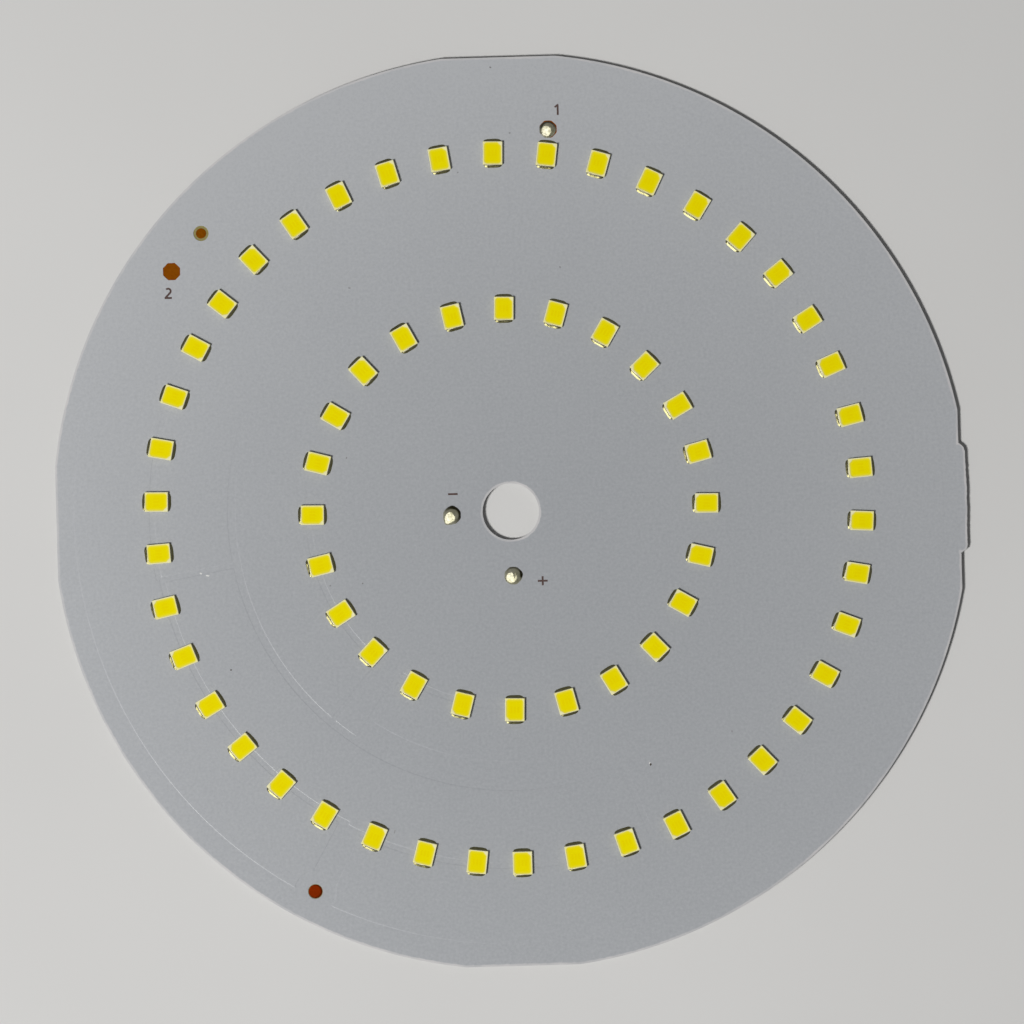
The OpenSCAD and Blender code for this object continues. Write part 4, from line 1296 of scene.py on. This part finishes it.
soup = Soup()
for i, (x, y, r, long, turn, faint) in enumerate(SPECKS_DARK):
    soup.faint = faint
    speck(soup, x, y, r, i * 2.7, long, turn, 0.012)
soup.make("dark_dirt_specks", DARK, "white_mask", angle=60)
soup = Soup()
for i, (x, y, r, long, turn, faint) in enumerate(SPECKS_PALE):
    soup.faint = faint
    speck(soup, x, y, r, i * 2.9 + 40, long, turn, 0.025)
soup.make("pale_flux_specks", PALE, "white_mask", angle=60)

# ---------------------------------------------------------------- pieces that stay as packed

for name, ob in nodes.items():
    kind = None
    if name.startswith("foil_"):
        kind = COPPER
    elif name == "locating_dots":
        kind = DOTS
    elif name == "printed_marks":
        kind = INK
    elif name.startswith("chips_"):
        kind = CHIPS
    elif name.startswith("bond_wires_"):
        kind = WIRE
    if kind is not None:
        if not ob.data.materials:
            ob.data.materials.append(kind)
        for i in range(len(ob.data.materials)):
            ob.data.materials[i] = kind

# ---------------------------------------------------------------- floor, light, camera

m = Mat("floor")
n1 = m.noise(9, 4.0, 0.5)
n2 = m.noise(700, 3.0, 0.6)
base = m.mix(m.remap(n1, 0.3, 0.7), (0.66, 0.655, 0.645), (0.70, 0.695, 0.685))
FLOOR = m.done(base, 0.8, m.bump(n2, 0.1, 0.0001))
s = 2500.0
floor = make("floor", [(-s, -s, 0), (s, -s, 0), (s, s, 0), (-s, s, 0)], [[0, 1, 2, 3]], FLOOR, rides=False)
floor.location.z = -0.00002

scene = bpy.context.scene


def area(name, at, size, watts, colour=(1, 1, 1), look=(0, 0, 0)):
    ld = bpy.data.lights.new(name, "AREA")
    ld.shape = "DISK"
    ld.size = size
    ld.energy = watts
    ld.color = colour
    ob = bpy.data.objects.new(name, ld)
    scene.collection.objects.link(ob)
    ob.location = at
    ob.rotation_euler = (Vector(at) - Vector(look)).to_track_quat("Z", "Y").to_euler()
    return ob


def at_angle(az, off, dist):
    return (dist * sind(off) * cosd(az), dist * sind(off) * sind(az), dist * cosd(off))


# the key lights and shades, the box and the lamp in it only shine in what is glossy
key = area("key_light", at_angle(209.0, 24.5, 0.95), 0.16, 7.15, (1.0, 0.995, 0.985))
key.visible_glossy = False
box = area("soft_box", at_angle(226.0, 36.0, 0.95), 0.56, 2.40, (1.0, 0.99, 0.96))
box.visible_diffuse = False
lamp = area("box_lamp", at_angle(226.0, 34.0, 0.94), 0.22, 2.2, (1.0, 0.99, 0.96))
lamp.visible_diffuse = False
glossed = bpy.data.collections.new("lamp_seen_in")
glossed.objects.link(mask)
lamp.light_linking.receiver_collection = glossed

world = bpy.data.worlds.new("world")
scene.world = world
world.use_nodes = True
bg = world.node_tree.nodes["Background"]
bg.inputs["Color"].default_value = (0.97, 0.985, 1.0, 1.0)
bg.inputs["Strength"].default_value = 0.13

cam_d = bpy.data.cameras.new("camera")
cam_d.lens = 148.63
cam_d.sensor_width = 36.0
cam_d.clip_start = 0.01
cam_d.dof.use_dof = False
cam = bpy.data.objects.new("camera", cam_d)
scene.collection.objects.link(cam)
cam.location = (0.000165, -0.000072, 0.6012)
target = Vector((0.000165, -0.000072, 0.0012))
back_v = (cam.location - target).normalized()
up = Vector((sind(1.6), cosd(1.6), 0.0))
right = up.cross(back_v).normalized()
up = back_v.cross(right).normalized()
rotm = Matrix((right, up, back_v)).transposed()
cam.rotation_euler = rotm.to_euler()
scene.camera = cam

scene.view_settings.view_transform = "Standard"
scene.view_settings.look = "None"
scene.view_settings.exposure = 0.0
scene.view_settings.gamma = 1.0
